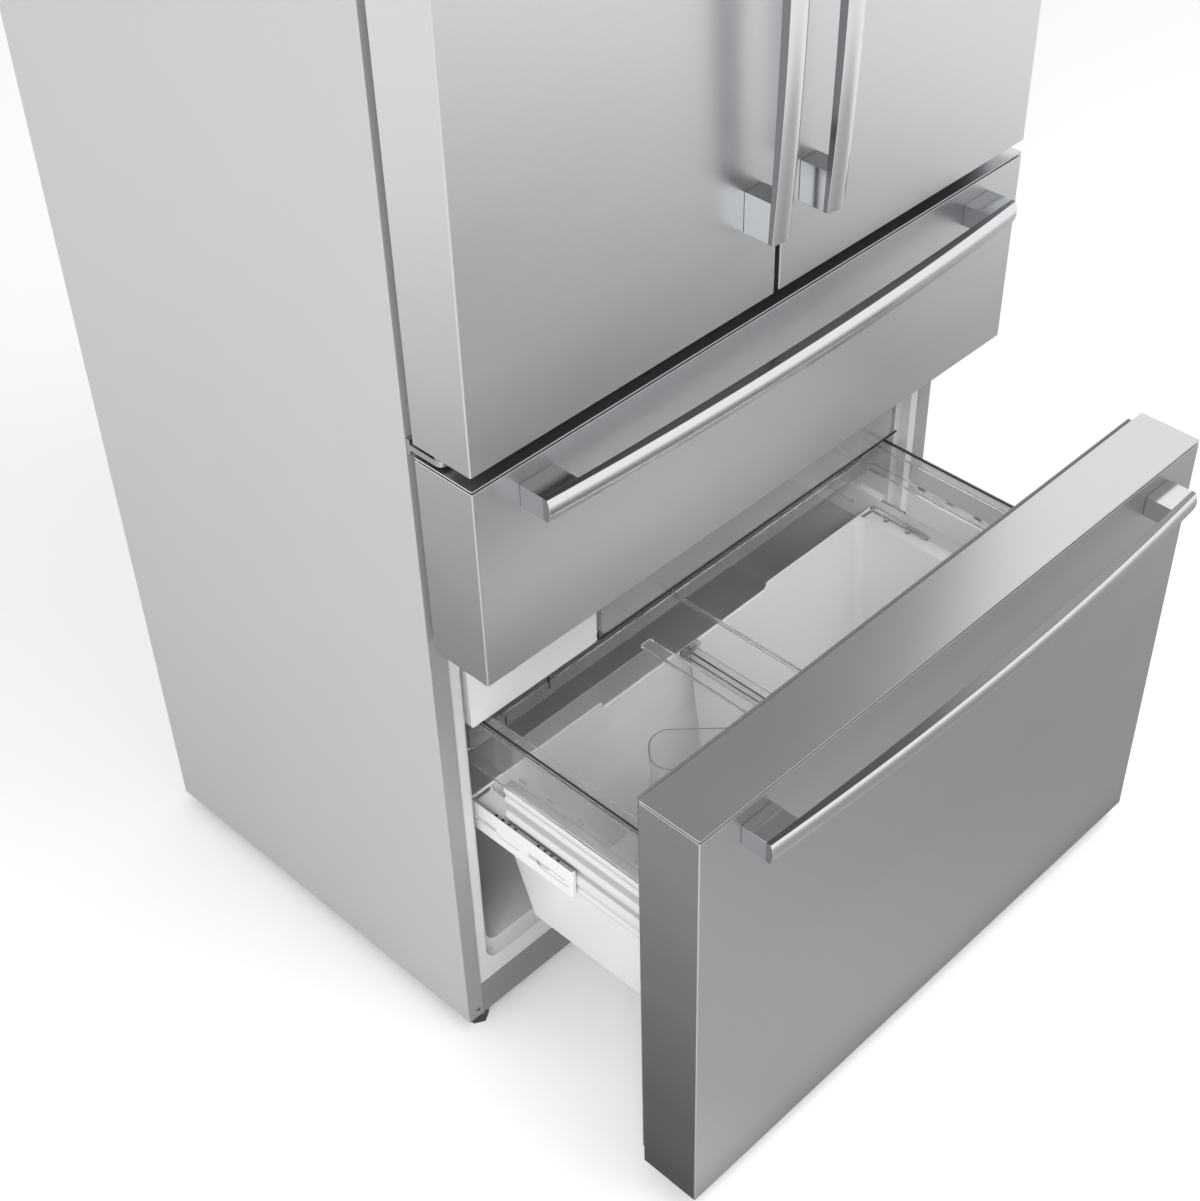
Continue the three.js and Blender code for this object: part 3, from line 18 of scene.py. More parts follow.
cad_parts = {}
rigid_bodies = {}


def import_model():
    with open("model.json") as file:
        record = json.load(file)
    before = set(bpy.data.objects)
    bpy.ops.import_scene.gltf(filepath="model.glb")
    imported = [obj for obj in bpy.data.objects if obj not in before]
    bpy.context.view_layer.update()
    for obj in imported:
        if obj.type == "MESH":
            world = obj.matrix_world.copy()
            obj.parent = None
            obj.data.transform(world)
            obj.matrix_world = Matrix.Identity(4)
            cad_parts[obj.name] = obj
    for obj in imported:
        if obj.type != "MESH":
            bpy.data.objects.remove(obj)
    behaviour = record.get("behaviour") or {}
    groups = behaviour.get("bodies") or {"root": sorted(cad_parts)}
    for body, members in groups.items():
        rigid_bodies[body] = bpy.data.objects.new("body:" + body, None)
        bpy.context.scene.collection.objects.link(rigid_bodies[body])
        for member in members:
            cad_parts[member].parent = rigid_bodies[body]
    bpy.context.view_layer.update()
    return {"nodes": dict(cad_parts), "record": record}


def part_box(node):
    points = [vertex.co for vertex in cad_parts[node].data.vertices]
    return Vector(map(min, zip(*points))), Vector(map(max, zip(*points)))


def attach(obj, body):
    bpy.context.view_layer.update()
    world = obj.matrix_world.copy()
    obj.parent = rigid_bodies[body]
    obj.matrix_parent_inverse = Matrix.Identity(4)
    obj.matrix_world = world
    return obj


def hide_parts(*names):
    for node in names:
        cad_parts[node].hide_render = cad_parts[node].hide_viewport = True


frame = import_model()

nodes = frame["nodes"]
body_of_node = {n: b for b, names in frame["record"]["behaviour"]["bodies"].items() for n in names}

# %% [markdown]
# ## Where the camera stands
#
# The photograph looks down on the left front corner, close enough for the upper doors to run
# out of the frame. Known edges of the refrigerator fix the camera: three turns, a distance and
# a lens. The camera could be aimed with a constraint, but a matrix written out from its three
# turns gives exactly the measured view, and a small lens shift stands for the crop.

# %% Camera
AZIMUTH = math.radians(-45.199)
DOWN_TILT = math.radians(43.281)
ROLL = math.radians(-1.208)
CAMERA_PLACE = Vector((-1.4559, -1.37605, 2.1733))
FOCAL_PIXELS, PHOTO_WIDTH, PHOTO_HEIGHT = 2024.9, 1200, 1201
VIEW_CENTRE = (625.7, 674.7)

forward = Vector((-math.sin(AZIMUTH) * math.cos(DOWN_TILT),
                  math.cos(AZIMUTH) * math.cos(DOWN_TILT), -math.sin(DOWN_TILT)))
right = forward.cross(Vector((0, 0, 1))).normalized()
up = right.cross(forward)
turned_right = right * math.cos(ROLL) + up * math.sin(ROLL)
turned_up = up * math.cos(ROLL) - right * math.sin(ROLL)

camera = bpy.data.objects.new("camera", bpy.data.cameras.new("camera"))
bpy.context.scene.collection.objects.link(camera)
turn = Matrix((turned_right, turned_up, -forward)).transposed().to_4x4()
camera.matrix_world = Matrix.Translation(CAMERA_PLACE) @ turn
camera.data.sensor_fit = "HORIZONTAL"
camera.data.sensor_width = 36
camera.data.lens = FOCAL_PIXELS * 36 / PHOTO_WIDTH
camera.data.shift_x = (PHOTO_WIDTH / 2 - VIEW_CENTRE[0]) / PHOTO_WIDTH
camera.data.shift_y = (VIEW_CENTRE[1] - PHOTO_HEIGHT / 2) / PHOTO_WIDTH
camera.data.clip_start = 0.05
bpy.context.scene.camera = camera
bpy.context.scene.view_settings.view_transform = "Standard"
print("camera lens %.1f mm" % camera.data.lens)

# %% [markdown]
# ## Helpers for materials
#
# A finish is a node tree around one Principled shader. Small helpers keep each recipe short:
# one starts a material and writes the values that are the same all over straight onto the
# shader, one adds a node and links or fills its inputs in one line, and the rest are the few
# nodes that nearly every recipe needs.

# %% Material helpers
def start_finish(name, **values):
    """A material with one Principled shader; each value goes onto the socket of that name."""
    material = bpy.data.materials.new(name)
    material.use_nodes = True
    shader = material.node_tree.nodes["Principled BSDF"]
    for socket, value in values.items():
        shader.inputs[socket.replace("_", " ")].default_value = value
    return material, material.node_tree, shader


def add_node(tree, kind, inputs=None, **settings):
    """A node of that kind; an input takes a value, or the socket that feeds it."""
    made = tree.nodes.new(kind)
    for name, value in settings.items():
        setattr(made, name, value)
    for name, value in (inputs or {}).items():
        if isinstance(value, bpy.types.NodeSocket):
            tree.links.new(value, made.inputs[name])
        else:
            made.inputs[name].default_value = value
    return made


def calc(tree, operation, *values):
    """One Math node; each value is a number or a socket."""
    values = dict(enumerate(values))
    return add_node(tree, "ShaderNodeMath", values, operation=operation).outputs[0]


def place(tree, scale=(1, 1, 1), offset=(0, 0, 0)):
    """Object coordinates in metres, stretched per axis for a pattern with a direction."""
    where = add_node(tree, "ShaderNodeTexCoord").outputs["Object"]
    values = {"Vector": where, "Scale": scale, "Location": offset}
    return add_node(tree, "ShaderNodeMapping", values).outputs["Vector"]


def noise(tree, vector, scale, detail=3.0, roughness=0.55):
    """A soft random value from 0 to 1 that changes scale times in a metre."""
    values = {"Vector": vector, "Scale": scale, "Detail": detail, "Roughness": roughness}
    return add_node(tree, "ShaderNodeTexNoise", values).outputs["Fac"]


def between(tree, value, low, high, start=0.3, end=0.7):
    """Maps value from start..end to low..high."""
    values = {"Value": value, "From Min": start, "From Max": end, "To Min": low, "To Max": high}
    return add_node(tree, "ShaderNodeMapRange", values).outputs["Result"]


def tint(tree, factor, dark, light):
    """A colour between dark and light."""
    mix = add_node(tree, "ShaderNodeMix", {0: factor}, data_type="RGBA")
    mix.inputs[6].default_value = (*dark, 1)
    mix.inputs[7].default_value = (*light, 1)
    return mix.outputs[2]


def relief(tree, height, strength, depth):
    """A bump from a height value; depth is how many metres the full height stands for."""
    values = {"Height": height, "Strength": strength, "Distance": depth}
    return add_node(tree, "ShaderNodeBump", values).outputs["Normal"]


def feed(tree, shader, **sockets):
    """Links outputs to the shader's inputs of those names."""
    for name, output in sockets.items():
        tree.links.new(output, shader.inputs[name.replace("_", " ")])


print("material helpers ready")

# %% [markdown]
# ## Brushed stainless steel
#
# The fronts are sheet steel, ground along the sheet so that fine scratches run level across
# the doors. It could be one grey mirror, but real steel shows streaks, a slow cloudiness from
# the rolling, and a soft blur in what it reflects. Noise squeezed into long thin grains gives
# the scratches, and a slow noise changes colour and roughness a little.

# %% Brushed steel finish
ALONG, ACROSS, DEEP = 3, 900, 30
STREAK_SHADE, GLOSS_SPREAD = 0.965, 0.03


def brushed_steel(name, colour, roughness, grain_depth):
    """Metal with level grain; on a top face the grain lies along X as well."""
    material, tree, shader = start_finish(name, Metallic=1.0)
    level = place(tree, (ALONG, DEEP, ACROSS))
    lying = place(tree, (ALONG, ACROSS, DEEP))
    facing = add_node(tree, "ShaderNodeNewGeometry").outputs["Normal"]
    upward = add_node(tree, "ShaderNodeSeparateXYZ", {"Vector": facing}).outputs["Z"]
    is_top = calc(tree, "GREATER_THAN", calc(tree, "ABSOLUTE", upward), 0.7)
    mix = add_node(tree, "ShaderNodeMix", {0: is_top, 4: level, 5: lying}, data_type="VECTOR")
    grain = noise(tree, mix.outputs[1], 1.0, 4.0, 0.6)
    cloud = noise(tree, place(tree, (2.5, 2.5, 7)), 1.0, 3.0, 0.5)
    streak = between(tree, calc(tree, "MULTIPLY", grain, cloud), 0, 1, 0.1, 0.4)
    feed(tree, shader,
         Base_Color=tint(tree, streak, [STREAK_SHADE * c for c in colour], colour),
         Roughness=between(tree, cloud, roughness - GLOSS_SPREAD, roughness + GLOSS_SPREAD),
         Normal=relief(tree, grain, 0.35, grain_depth))
    return material


steel = brushed_steel("brushed_steel", (0.75, 0.76, 0.775), 0.34, 0.00002)
handle_steel = brushed_steel("handle_steel", (0.80, 0.815, 0.83), 0.17, 0.00001)
zinc = brushed_steel("zinc_plate", (0.62, 0.63, 0.64), 0.34, 0.00002)
print("metals:", steel.name, handle_steel.name, zinc.name)

# %% [markdown]
# ## Paint, plastic and rubber
#
# The cabinet is painted sheet with a faint orange peel, the inside is moulded plastic with a
# slow waviness, and seals are matt rubber. All of them are one recipe with other numbers: a
# colour that wanders slightly, a roughness that wanders with it, and a fine relief.

# %% Paint and plastic finish
def solid_finish(name, colour, roughness, grain, depth, wander=0.03, cloud=6):
    """Paint, plastic or rubber with a fine relief and slightly uneven colour and gloss.

    The relief has grain bumps in a metre and is depth metres deep; wander is the share by
    which the colour darkens in patches, and there are cloud patches in a metre.
    """
    material, tree, shader = start_finish(name)
    slow = noise(tree, place(tree), cloud, 3.0, 0.5)
    fine = noise(tree, place(tree), grain, 2.0, 0.6)
    feed(tree, shader,
         Base_Color=tint(tree, slow, [c * (1 - wander) for c in colour], colour),
         Roughness=between(tree, slow, roughness * 0.95, roughness * 1.05, 0.1, 0.9),
         Normal=relief(tree, fine, 0.4, depth))
    return material


cabinet_paint = solid_finish("cabinet_paint", (0.485, 0.49, 0.497), 0.42, 700, 0.00003)
frame_paint = solid_finish("frame_paint", (0.25, 0.252, 0.25), 0.36, 700, 0.00003)
black_paint = solid_finish("black_paint", (0.018, 0.018, 0.02), 0.38, 600, 0.00005)
liner_plastic = solid_finish("liner_plastic", (0.66, 0.665, 0.665), 0.24, 60, 0.00006, 0.02)
white_plastic = solid_finish("white_plastic", (0.84, 0.845, 0.845), 0.26, 500, 0.00002, 0.02)
gasket_rubber = solid_finish("gasket_rubber", (0.16, 0.165, 0.17), 0.6, 1500, 0.00004)
dark_nylon = solid_finish("dark_nylon", (0.03, 0.03, 0.032), 0.5, 1200, 0.00004)
foam = solid_finish("foam", (0.62, 0.52, 0.30), 0.9, 400, 0.0004, 0.2, 40)
print("painted and moulded finishes ready")

# %% [markdown]
# ## Clear plastic and glass
#
# The upper freezer frame, tray and divider are clear mouldings, so their edges show as dark
# and bright lines and their walls almost vanish. A see-through alpha would lose those lines.
# The walls are real closed solids here, so a shader that bends light draws the lines itself.
# Only its roughness wanders a little, as the haze of a moulding does.

# %% Clear finishes
def clear_finish(name, colour, bend, roughness, clear=1.0):
    """A clear solid, hazy in places; clear is the share of light that it lets through."""
    material, tree, shader = start_finish(
        name, Transmission_Weight=clear, IOR=bend, Base_Color=(*colour, 1))
    flow = noise(tree, place(tree, (1, 1, 3)), 9.0, 2.0, 0.4)
    feed(tree, shader, Roughness=between(tree, flow, roughness * 0.5, roughness * 1.5))
    return material


clear_plastic = clear_finish("clear_plastic", (0.99, 0.992, 0.99), 1.43, 0.02, 0.94)
tray_plastic = clear_finish("tray_plastic", (0.96, 0.965, 0.96), 1.44, 0.03, 0.78)
shelf_glass = clear_finish("shelf_glass", (0.93, 0.98, 0.96), 1.52, 0.0)
print("clear finishes ready")

# %% [markdown]
# ## Fin aluminium
#
# Heat exchangers are thin aluminium fins, bright but crossed by fine press lines.

# %% Fin finish
def fin_finish():
    """Aluminium with close press lines across the fins."""
    material, tree, shader = start_finish("fin_aluminium", Metallic=1.0)
    values = {"Vector": place(tree), "Scale": 120.0, "Distortion": 0.6}
    lines = add_node(tree, "ShaderNodeTexWave", values, bands_direction="Z").outputs["Fac"]
    feed(tree, shader,
         Base_Color=tint(tree, lines, (0.66, 0.67, 0.68), (0.78, 0.79, 0.80)),
         Roughness=between(tree, lines, 0.3, 0.42, 0, 1),
         Normal=relief(tree, lines, 0.3, 0.0001))
    return material


fin_aluminium = fin_finish()
print("fins:", fin_aluminium.name)

# %% [markdown]
# ## Finishes on the solids
#
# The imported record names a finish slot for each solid, so one table paints them all. The
# pieces that are rebuilt further down replace their solids.

# %% Paint the solids
FINISHES = {
    "cabinet_paint": cabinet_paint, "frame_paint": frame_paint, "stainless_steel": steel,
    "handle_steel": handle_steel, "liner_plastic": liner_plastic, "white_plastic": white_plastic,
    "foam": foam, "gasket_rubber": gasket_rubber, "zinc_plate": zinc, "black_paint": black_paint,
    "fin_aluminium": fin_aluminium, "dark_nylon": dark_nylon, "clear_plastic": clear_plastic,
    "shelf_glass": shelf_glass,
}
slot_of_node = {part["node"]: part["material_slot"] for part in frame["record"]["subparts"]}
for name, slot in slot_of_node.items():
    solid = nodes[name].data
    solid.materials.clear()
    solid.materials.append(FINISHES[slot])
print("painted", len(slot_of_node), "solids")

# %% [markdown]
# ## Helpers for pieces
#
# Sheet metal and mouldings never have knife edges, and a thin round on each edge is what
# catches the light. A Bevel modifier cuts that round and a Weighted Normal modifier keeps the
# big flat faces flat, so both finish every piece here. The result is turned into a plain mesh,
# because a finished piece sits at the origin with nothing left to calculate.

# %% Piece helpers
scene_objects = bpy.context.scene.collection.objects
SLOT_OF_FINISH = {finish.name: slot for slot, finish in FINISHES.items()}
MM = 0.001
SAME_POINT = 0.01 * MM
FLAT_ANGLE, SHARP_ANGLE, BEAD_ANGLE = 0.5, 32, 50
SIDES = ((-1, "left"), (1, "right"))


def evaluated_mesh(made):
    """The mesh that an object's modifiers make, as a plain mesh."""
    graph = bpy.context.evaluated_depsgraph_get()
    return bpy.data.meshes.new_from_object(made.evaluated_get(graph))


def piece(name, mesh, body, stands_for=(), finish=None, rounding=0.0, segments=2,
          angle=SHARP_ANGLE):
    if finish:
        mesh.materials.clear()
        mesh.materials.append(finish)
    for polygon in mesh.polygons:
        polygon.use_smooth = True
    mesh.set_sharp_from_angle(angle=math.radians(angle))
    made = bpy.data.objects.new(name, mesh)
    scene_objects.link(made)
    if rounding:
        edge = made.modifiers.new("round", "BEVEL")
        edge.width, edge.segments = rounding * MM, segments
        edge.limit_method, edge.angle_limit = "ANGLE", math.radians(angle)
        edge.miter_outer = "MITER_ARC"
    made.modifiers.new("flat", "WEIGHTED_NORMAL").keep_sharp = True
    made.data = evaluated_mesh(made)
    made.modifiers.clear()
    made.data.name = name
    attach(made, body)
    if stands_for:
        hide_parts(*stands_for)
    return made


def merged(node):
    """A copy of a solid's mesh whose points are shared and whose flat faces are whole.

    A face that goes round an opening is cut into triangles, or the bevel would close the opening.
    """
    work = bmesh.new()
    work.from_mesh(nodes[node].data)
    bmesh.ops.remove_doubles(work, verts=work.verts, dist=SAME_POINT)
    bmesh.ops.dissolve_limit(work, angle_limit=math.radians(FLAT_ANGLE), verts=work.verts,
                             edges=work.edges)
    hollow = [face for face in work.faces if not all(loop.is_convex for loop in face.loops)]
    bmesh.ops.triangulate(work, faces=hollow)
    return work


def to_mesh(work, name, finish=None):
    """Turns working geometry into a mesh and frees it."""
    mesh = bpy.data.meshes.new(name)
    work.to_mesh(mesh)
    work.free()
    if finish:
        mesh.materials.append(finish)
    return mesh


def copy_of(node, name, move=(0, 0, 0), rounding=0.0, stands_for=(), finish=None):
    """A rounded copy of a solid on the same body, moved by millimetres."""
    mesh = to_mesh(merged(node), name, finish or FINISHES[slot_of_node[node]])
    mesh.transform(Matrix.Translation(Vector(move) * MM))
    return piece(name, mesh, body_of_node[node], stands_for, None, rounding)


def wall_between(work, ring, following):
    """Joins two rings of points by faces and returns them in order."""
    next_of = list(range(1, len(ring))) + [0]
    return [work.faces.new((ring[i], ring[j], following[j], following[i]))
            for i, j in enumerate(next_of)]


def close_rings(work, rings):
    """Makes a closed solid of rings of points, and returns the walls between the rings."""
    walls = [wall_between(work, ring, following) for ring, following in zip(rings, rings[1:])]
    work.faces.new(rings[0])
    work.faces.new(rings[-1])
    bmesh.ops.recalc_face_normals(work, faces=work.faces)
    return walls


print("piece helpers ready")

# %% [markdown]
# ## Geometry Nodes from a script
#
# A tree of nodes can make a mesh from a few named sizes. It is handy for what follows a rule:
# a pan that is only an outline raised in steps, or screws and balls on a line. One helper
# starts such a tree with its named inputs, and one runs it with given sizes on an empty object
# and keeps the plain mesh, without the empty material slot that such an object brings.

# %% Tree helpers
def start_tree(name, sizes, finishes=("Finish",)):
    """A Geometry Nodes tree with named inputs; returns the tree and its input sockets."""
    tree = bpy.data.node_groups.new(name, "GeometryNodeTree")
    for label, value in sizes.items():
        kind = "NodeSocketInt" if isinstance(value, int) else "NodeSocketFloat"
        socket = tree.interface.new_socket(label, in_out="INPUT", socket_type=kind)
        socket.default_value = value
    for label in finishes:
        tree.interface.new_socket(label, in_out="INPUT", socket_type="NodeSocketMaterial")
    tree.interface.new_socket("Geometry", in_out="OUTPUT", socket_type="NodeSocketGeometry")
    return tree, add_node(tree, "NodeGroupInput").outputs


def vector(tree, x=0.0, y=0.0, z=0.0):
    """Three numbers or sockets as one vector."""
    return add_node(tree, "ShaderNodeCombineXYZ", {"X": x, "Y": y, "Z": z}).outputs[0]


def end_tree(tree, geometry, finish, marked=None, other_finish=None):
    """Makes instances real, gives the mesh its finish, or two of them, and closes the tree."""
    real = add_node(tree, "GeometryNodeRealizeInstances", {"Geometry": geometry}).outputs[0]
    values = {"Geometry": real, "Material": finish}
    painted = add_node(tree, "GeometryNodeSetMaterial", values).outputs[0]
    if marked is not None:
        values = {"Geometry": painted, "Selection": marked, "Material": other_finish}
        painted = add_node(tree, "GeometryNodeSetMaterial", values).outputs[0]
    add_node(tree, "NodeGroupOutput", {"Geometry": painted})


def on_line(tree, geometry, count, step):
    """Count copies of a geometry as instances on a line, one step apart."""
    line = add_node(tree, "GeometryNodeMeshLine", {"Count": count, "Offset": step}).outputs[0]
    values = {"Points": line, "Instance": geometry}
    return add_node(tree, "GeometryNodeInstanceOnPoints", values).outputs[0]


def grow(tree, **values):
    """Runs a tree with these inputs and returns the plain mesh that it makes."""
    holder = bpy.data.objects.new(tree.name, bpy.data.meshes.new(tree.name))
    scene_objects.link(holder)
    modifier = holder.modifiers.new("grow", "NODES")
    modifier.node_group = tree
    for item in tree.interface.items_tree:
        if item.in_out == "INPUT" and item.name.replace(" ", "_") in values:
            modifier[item.identifier] = values[item.name.replace(" ", "_")]
    mesh = evaluated_mesh(holder)
    bpy.data.objects.remove(holder)
    used = [finish for finish in mesh.materials if finish]
    places = [used.index(mesh.materials[face.material_index]) for face in mesh.polygons]
    mesh.materials.clear()
    for finish in used:
        mesh.materials.append(finish)
    mesh.polygons.foreach_set("material_index", places)
    return mesh


print("tree helpers ready")

# %% [markdown]
# ## The steel fronts
#
# Each front is a pan of sheet steel, folded round its sides, with a separate cap on its top
# edge. The joint under the cap is a groove whose faces are painted dark, as painted shade, and
# the two rounded edges beside it shine as a double line. A plain box could be bevelled, but the
# joint has to run round the rounded corners too. So the outline is filled, raised step by step
# and drawn in or out a little at each step.

# %% Tree for a steel front
GROOVE = "groove"
ROUND_STEPS, CORNER_POINTS = 3, 5
REAR_CORNER = 0.5 * MM


def drawn_in(tree, size, inset):
    """A size less the inset on both sides."""
    return calc(tree, "SUBTRACT", size, calc(tree, "MULTIPLY", inset, 2))


def outline_face(tree, sizes, inset):
    """The filled outline of the pan, drawn in by inset; only its front corners are round."""
    outline = add_node(tree, "GeometryNodeCurvePrimitiveQuadrilateral",
                       {"Width": drawn_in(tree, sizes["Width"], inset),
                        "Height": drawn_in(tree, sizes["Depth"], inset)}).outputs[0]
    where = add_node(tree, "GeometryNodeInputPosition").outputs[0]
    depth_place = add_node(tree, "ShaderNodeSeparateXYZ", {"Vector": where}).outputs["Y"]
    is_front = calc(tree, "LESS_THAN", depth_place, 0.0)
    radius = calc(tree, "MULTIPLY_ADD", is_front, sizes["Corner"], REAR_CORNER)
    values = {"Curve": outline, "Radius": radius, "Count": CORNER_POINTS}
    rounded = add_node(tree, "GeometryNodeFilletCurve", values, mode="POLY").outputs[0]
    return add_node(tree, "GeometryNodeFillCurve", {"Curve": rounded}, mode="NGONS").outputs[0]


def raise_step(tree, sizes, state, rise, inset):
    """Extrudes the top face by rise and draws it in to the given inset of the full outline.

    A state is the geometry, the selection of its top face and the inset of that face.
    """
    geometry, top, old_inset = state
    values = {"Mesh": geometry, "Selection": top, "Offset": vector(tree, 0, 0, rise),
              "Individual": False}
    step = add_node(tree, "GeometryNodeExtrudeMesh", values).outputs
    moved = step["Mesh"]
    if inset is not old_inset:
        factors = [calc(tree, "DIVIDE", drawn_in(tree, sizes[label], inset),
                        drawn_in(tree, sizes[label], old_inset)) for label in ("Width", "Depth")]
        where = add_node(tree, "GeometryNodeInputPosition").outputs[0]
        drawn = add_node(tree, "ShaderNodeVectorMath", {0: where, 1: vector(tree, *factors, 1)},
                         operation="MULTIPLY").outputs[0]
        values = {"Geometry": moved, "Selection": step["Top"], "Position": drawn}
        moved = add_node(tree, "GeometryNodeSetPosition", values).outputs[0]
    return (moved, step["Top"], inset), step["Side"]


def rounding_steps(tree, sizes, state, radius, outwards):
    """Raises the top by radius along a quarter round, outwards or inwards."""
    last_rise = 0.0
    for number in range(1, ROUND_STEPS + 1):
        angle = math.pi / 2 * number / ROUND_STEPS
        reach = 1 - math.sin(angle) if outwards else 1 - math.cos(angle)
        height = 1 - math.cos(angle) if outwards else math.sin(angle)
        rise = calc(tree, "MULTIPLY", radius, height - last_rise)
        state, _ = raise_step(tree, sizes, state, rise, calc(tree, "MULTIPLY", radius, reach))
        last_rise = height
    return state


def steel_front_tree():
    """Pan with rounded edges, and a capped top above a joint painted dark as painted shade."""
    tree, sizes = start_tree("steel_front", {
        "Width": 0.9, "Depth": 0.08, "Height": 0.6, "Corner": 1.5 * MM, "Edge": 0.8 * MM,
        "Cap": 1.8 * MM, "Joint": 2.1 * MM, "Joint Depth": 2.8 * MM}, ("Finish", "Joint Finish"))
    edge, zero = sizes["Edge"], calc(tree, "MULTIPLY", sizes["Edge"], 0)
    bottom = outline_face(tree, sizes, edge)
    start = add_node(tree, "FunctionNodeInputBool", boolean=True).outputs[0]
    state = rounding_steps(tree, sizes, (bottom, start, edge), edge, True)
    capped = calc(tree, "ADD", sizes["Joint"], sizes["Cap"])
    above = calc(tree, "MULTIPLY_ADD", edge, 2, capped)
    wall = calc(tree, "SUBTRACT", sizes["Height"], above)
    state, _ = raise_step(tree, sizes, (state[0], state[1], zero), wall, zero)
    state = rounding_steps(tree, sizes, state, edge, False)
    state, _ = raise_step(tree, sizes, state, 0.0, sizes["Joint Depth"])
    state, groove = raise_step(tree, sizes, state, sizes["Joint"], sizes["Joint Depth"])
    # The joint's faces are marked for the dark finish, painted shade in the groove.
    marked = add_node(tree, "GeometryNodeStoreNamedAttribute", {
        "Geometry": state[0], "Selection": groove, "Name": GROOVE, "Value": True},
        data_type="BOOLEAN", domain="FACE").outputs[0]
    small = calc(tree, "MULTIPLY", sizes["Cap"], 0.45)
    state, _ = raise_step(tree, sizes, (marked, state[1], state[2]), 0.0, small)
    state = rounding_steps(tree, sizes, state, small, True)
    straight = calc(tree, "MULTIPLY", sizes["Cap"], 0.1)
    state, _ = raise_step(tree, sizes, (state[0], state[1], zero), straight, zero)
    state = rounding_steps(tree, sizes, state, small, False)
    underside = add_node(tree, "GeometryNodeFlipFaces", {"Mesh": bottom}).outputs[0]
    joined = add_node(tree, "GeometryNodeJoinGeometry")
    tree.links.new(state[0], joined.inputs[0])
    tree.links.new(underside, joined.inputs[0])
    closed = add_node(tree, "GeometryNodeMergeByDistance",
                      {"Geometry": joined.outputs[0], "Distance": SAME_POINT}).outputs[0]
    is_groove = add_node(tree, "GeometryNodeInputNamedAttribute", {"Name": GROOVE},
                         data_type="BOOLEAN").outputs["Attribute"]
    end_tree(tree, closed, sizes["Finish"], is_groove, sizes["Joint Finish"])
    return tree


front_tree = steel_front_tree()
print("steel front tree:", len(front_tree.nodes), "nodes")

# %% [markdown]
# The pans are open at the back, where the plastic inner panel closes them. Each one is grown
# at the size of its solid, moved into place, and its back face is sunk to leave a thin rim.

# %% The four fronts
SHEET = 1.2 * MM
PANEL_RECESS = 3.7 * MM


def sink_back(mesh):
    """Sinks the big rear face so that a rim of sheet stands round the inner panel."""
    work = bmesh.new()
    work.from_mesh(mesh)
    work.normal_update()
    back = max((f for f in work.faces if f.normal.y > 0.99), key=lambda f: f.calc_area())
    bmesh.ops.inset_region(work, faces=[back], thickness=SHEET, use_even_offset=True)
    sunk = bmesh.ops.extrude_discrete_faces(work, faces=[back])["faces"]
    bmesh.ops.translate(work, verts=sunk[0].verts, vec=(0, -PANEL_RECESS, 0))
    work.to_mesh(mesh)
    work.free()


for node in ("door_skin_left", "door_skin_right", "middle_drawer_skin", "freezer_drawer_skin"):
    low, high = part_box(node)
    size = high - low
    # The joint under the cap gets dark nylon as painted shade.
    pan = grow(front_tree, Width=size.x, Depth=size.y, Height=size.z,
               Finish=steel, Joint_Finish=dark_nylon)
    pan.transform(Matrix.Translation(((low.x + high.x) / 2, (low.y + high.y) / 2, low.z)))
    sink_back(pan)
    made = piece(node.replace("skin", "front"), pan, body_of_node[node], (node,))
    print(made.name, len(made.data.polygons), "faces")

# %% [markdown]
# ## Handles
#
# A handle is a bar with a softly rounded front on two blocks, and it bows forward a little so
# that a hand fits behind it. The bar and the blocks are separate pieces on the real one. The
# narrow flats along the top and bottom of the bar, which look darker than its polished front,
# get a darker steel as a painted reflection, and the end faces a darker steel as painted shade.
# A curve with a bevel profile could make it, but its two faces bow by different amounts, so the
# section is set out at stations along the length and the stations are joined.

# %% Handle pieces
# Darker copies of the handle steel: painted reflection on the bar, painted shade on the ends.
handle_edge = brushed_steel("handle_edge", (0.30, 0.31, 0.32), 0.22, 0.00001)
handle_end = brushed_steel("handle_end", (0.47, 0.48, 0.49), 0.24, 0.00001)
SLOT_OF_FINISH["handle_edge"] = SLOT_OF_FINISH["handle_end"] = "handle_steel"
BAR_HALF = 14 * MM
BAR_BACK, BAR_FLAT, BAR_FRONT = 33.5 * MM, 39.4 * MM, 43.0 * MM
BLOCK_LENGTH, BLOCK_INSET, BLOCK_OVERLAP = 48 * MM, 0.2 * MM, 2.5 * MM
BACK_SHARE, BAR_STATIONS, FRONT_STEPS = 0.6, 25, 16
BOW_OF_HANDLE = {"door_handle_left": 12 * MM, "door_handle_right": 12 * MM,
                 "middle_drawer_handle": 15.5 * MM, "freezer_drawer_handle": 15.5 * MM}


def pulled_bar(length, bow):
    """The bar along X in front of a face at y = 0, swelling forward by bow in its middle."""
    work = bmesh.new()
    rings = []
    for station in range(BAR_STATIONS):
        t = 2 * station / (BAR_STATIONS - 1) - 1
        swell = bow * (1 - t * t)
        flat = -BAR_FLAT - swell
        rounded = [(flat - (BAR_FRONT - BAR_FLAT) * (1 - s * s), -s * BAR_HALF)
                   for s in (2 * i / FRONT_STEPS - 1 for i in range(FRONT_STEPS + 1))]
        back = -BAR_BACK - BACK_SHARE * swell
        outline = [(back, BAR_HALF)] + rounded + [(back, -BAR_HALF)]
        rings.append([work.verts.new((t * length / 2, y, z)) for y, z in outline])
    for walls in close_rings(work, rings):
        # The flats on top and bottom of the bar take the darker steel, a painted reflection.
        walls[0].material_index = walls[-2].material_index = 1
    return work


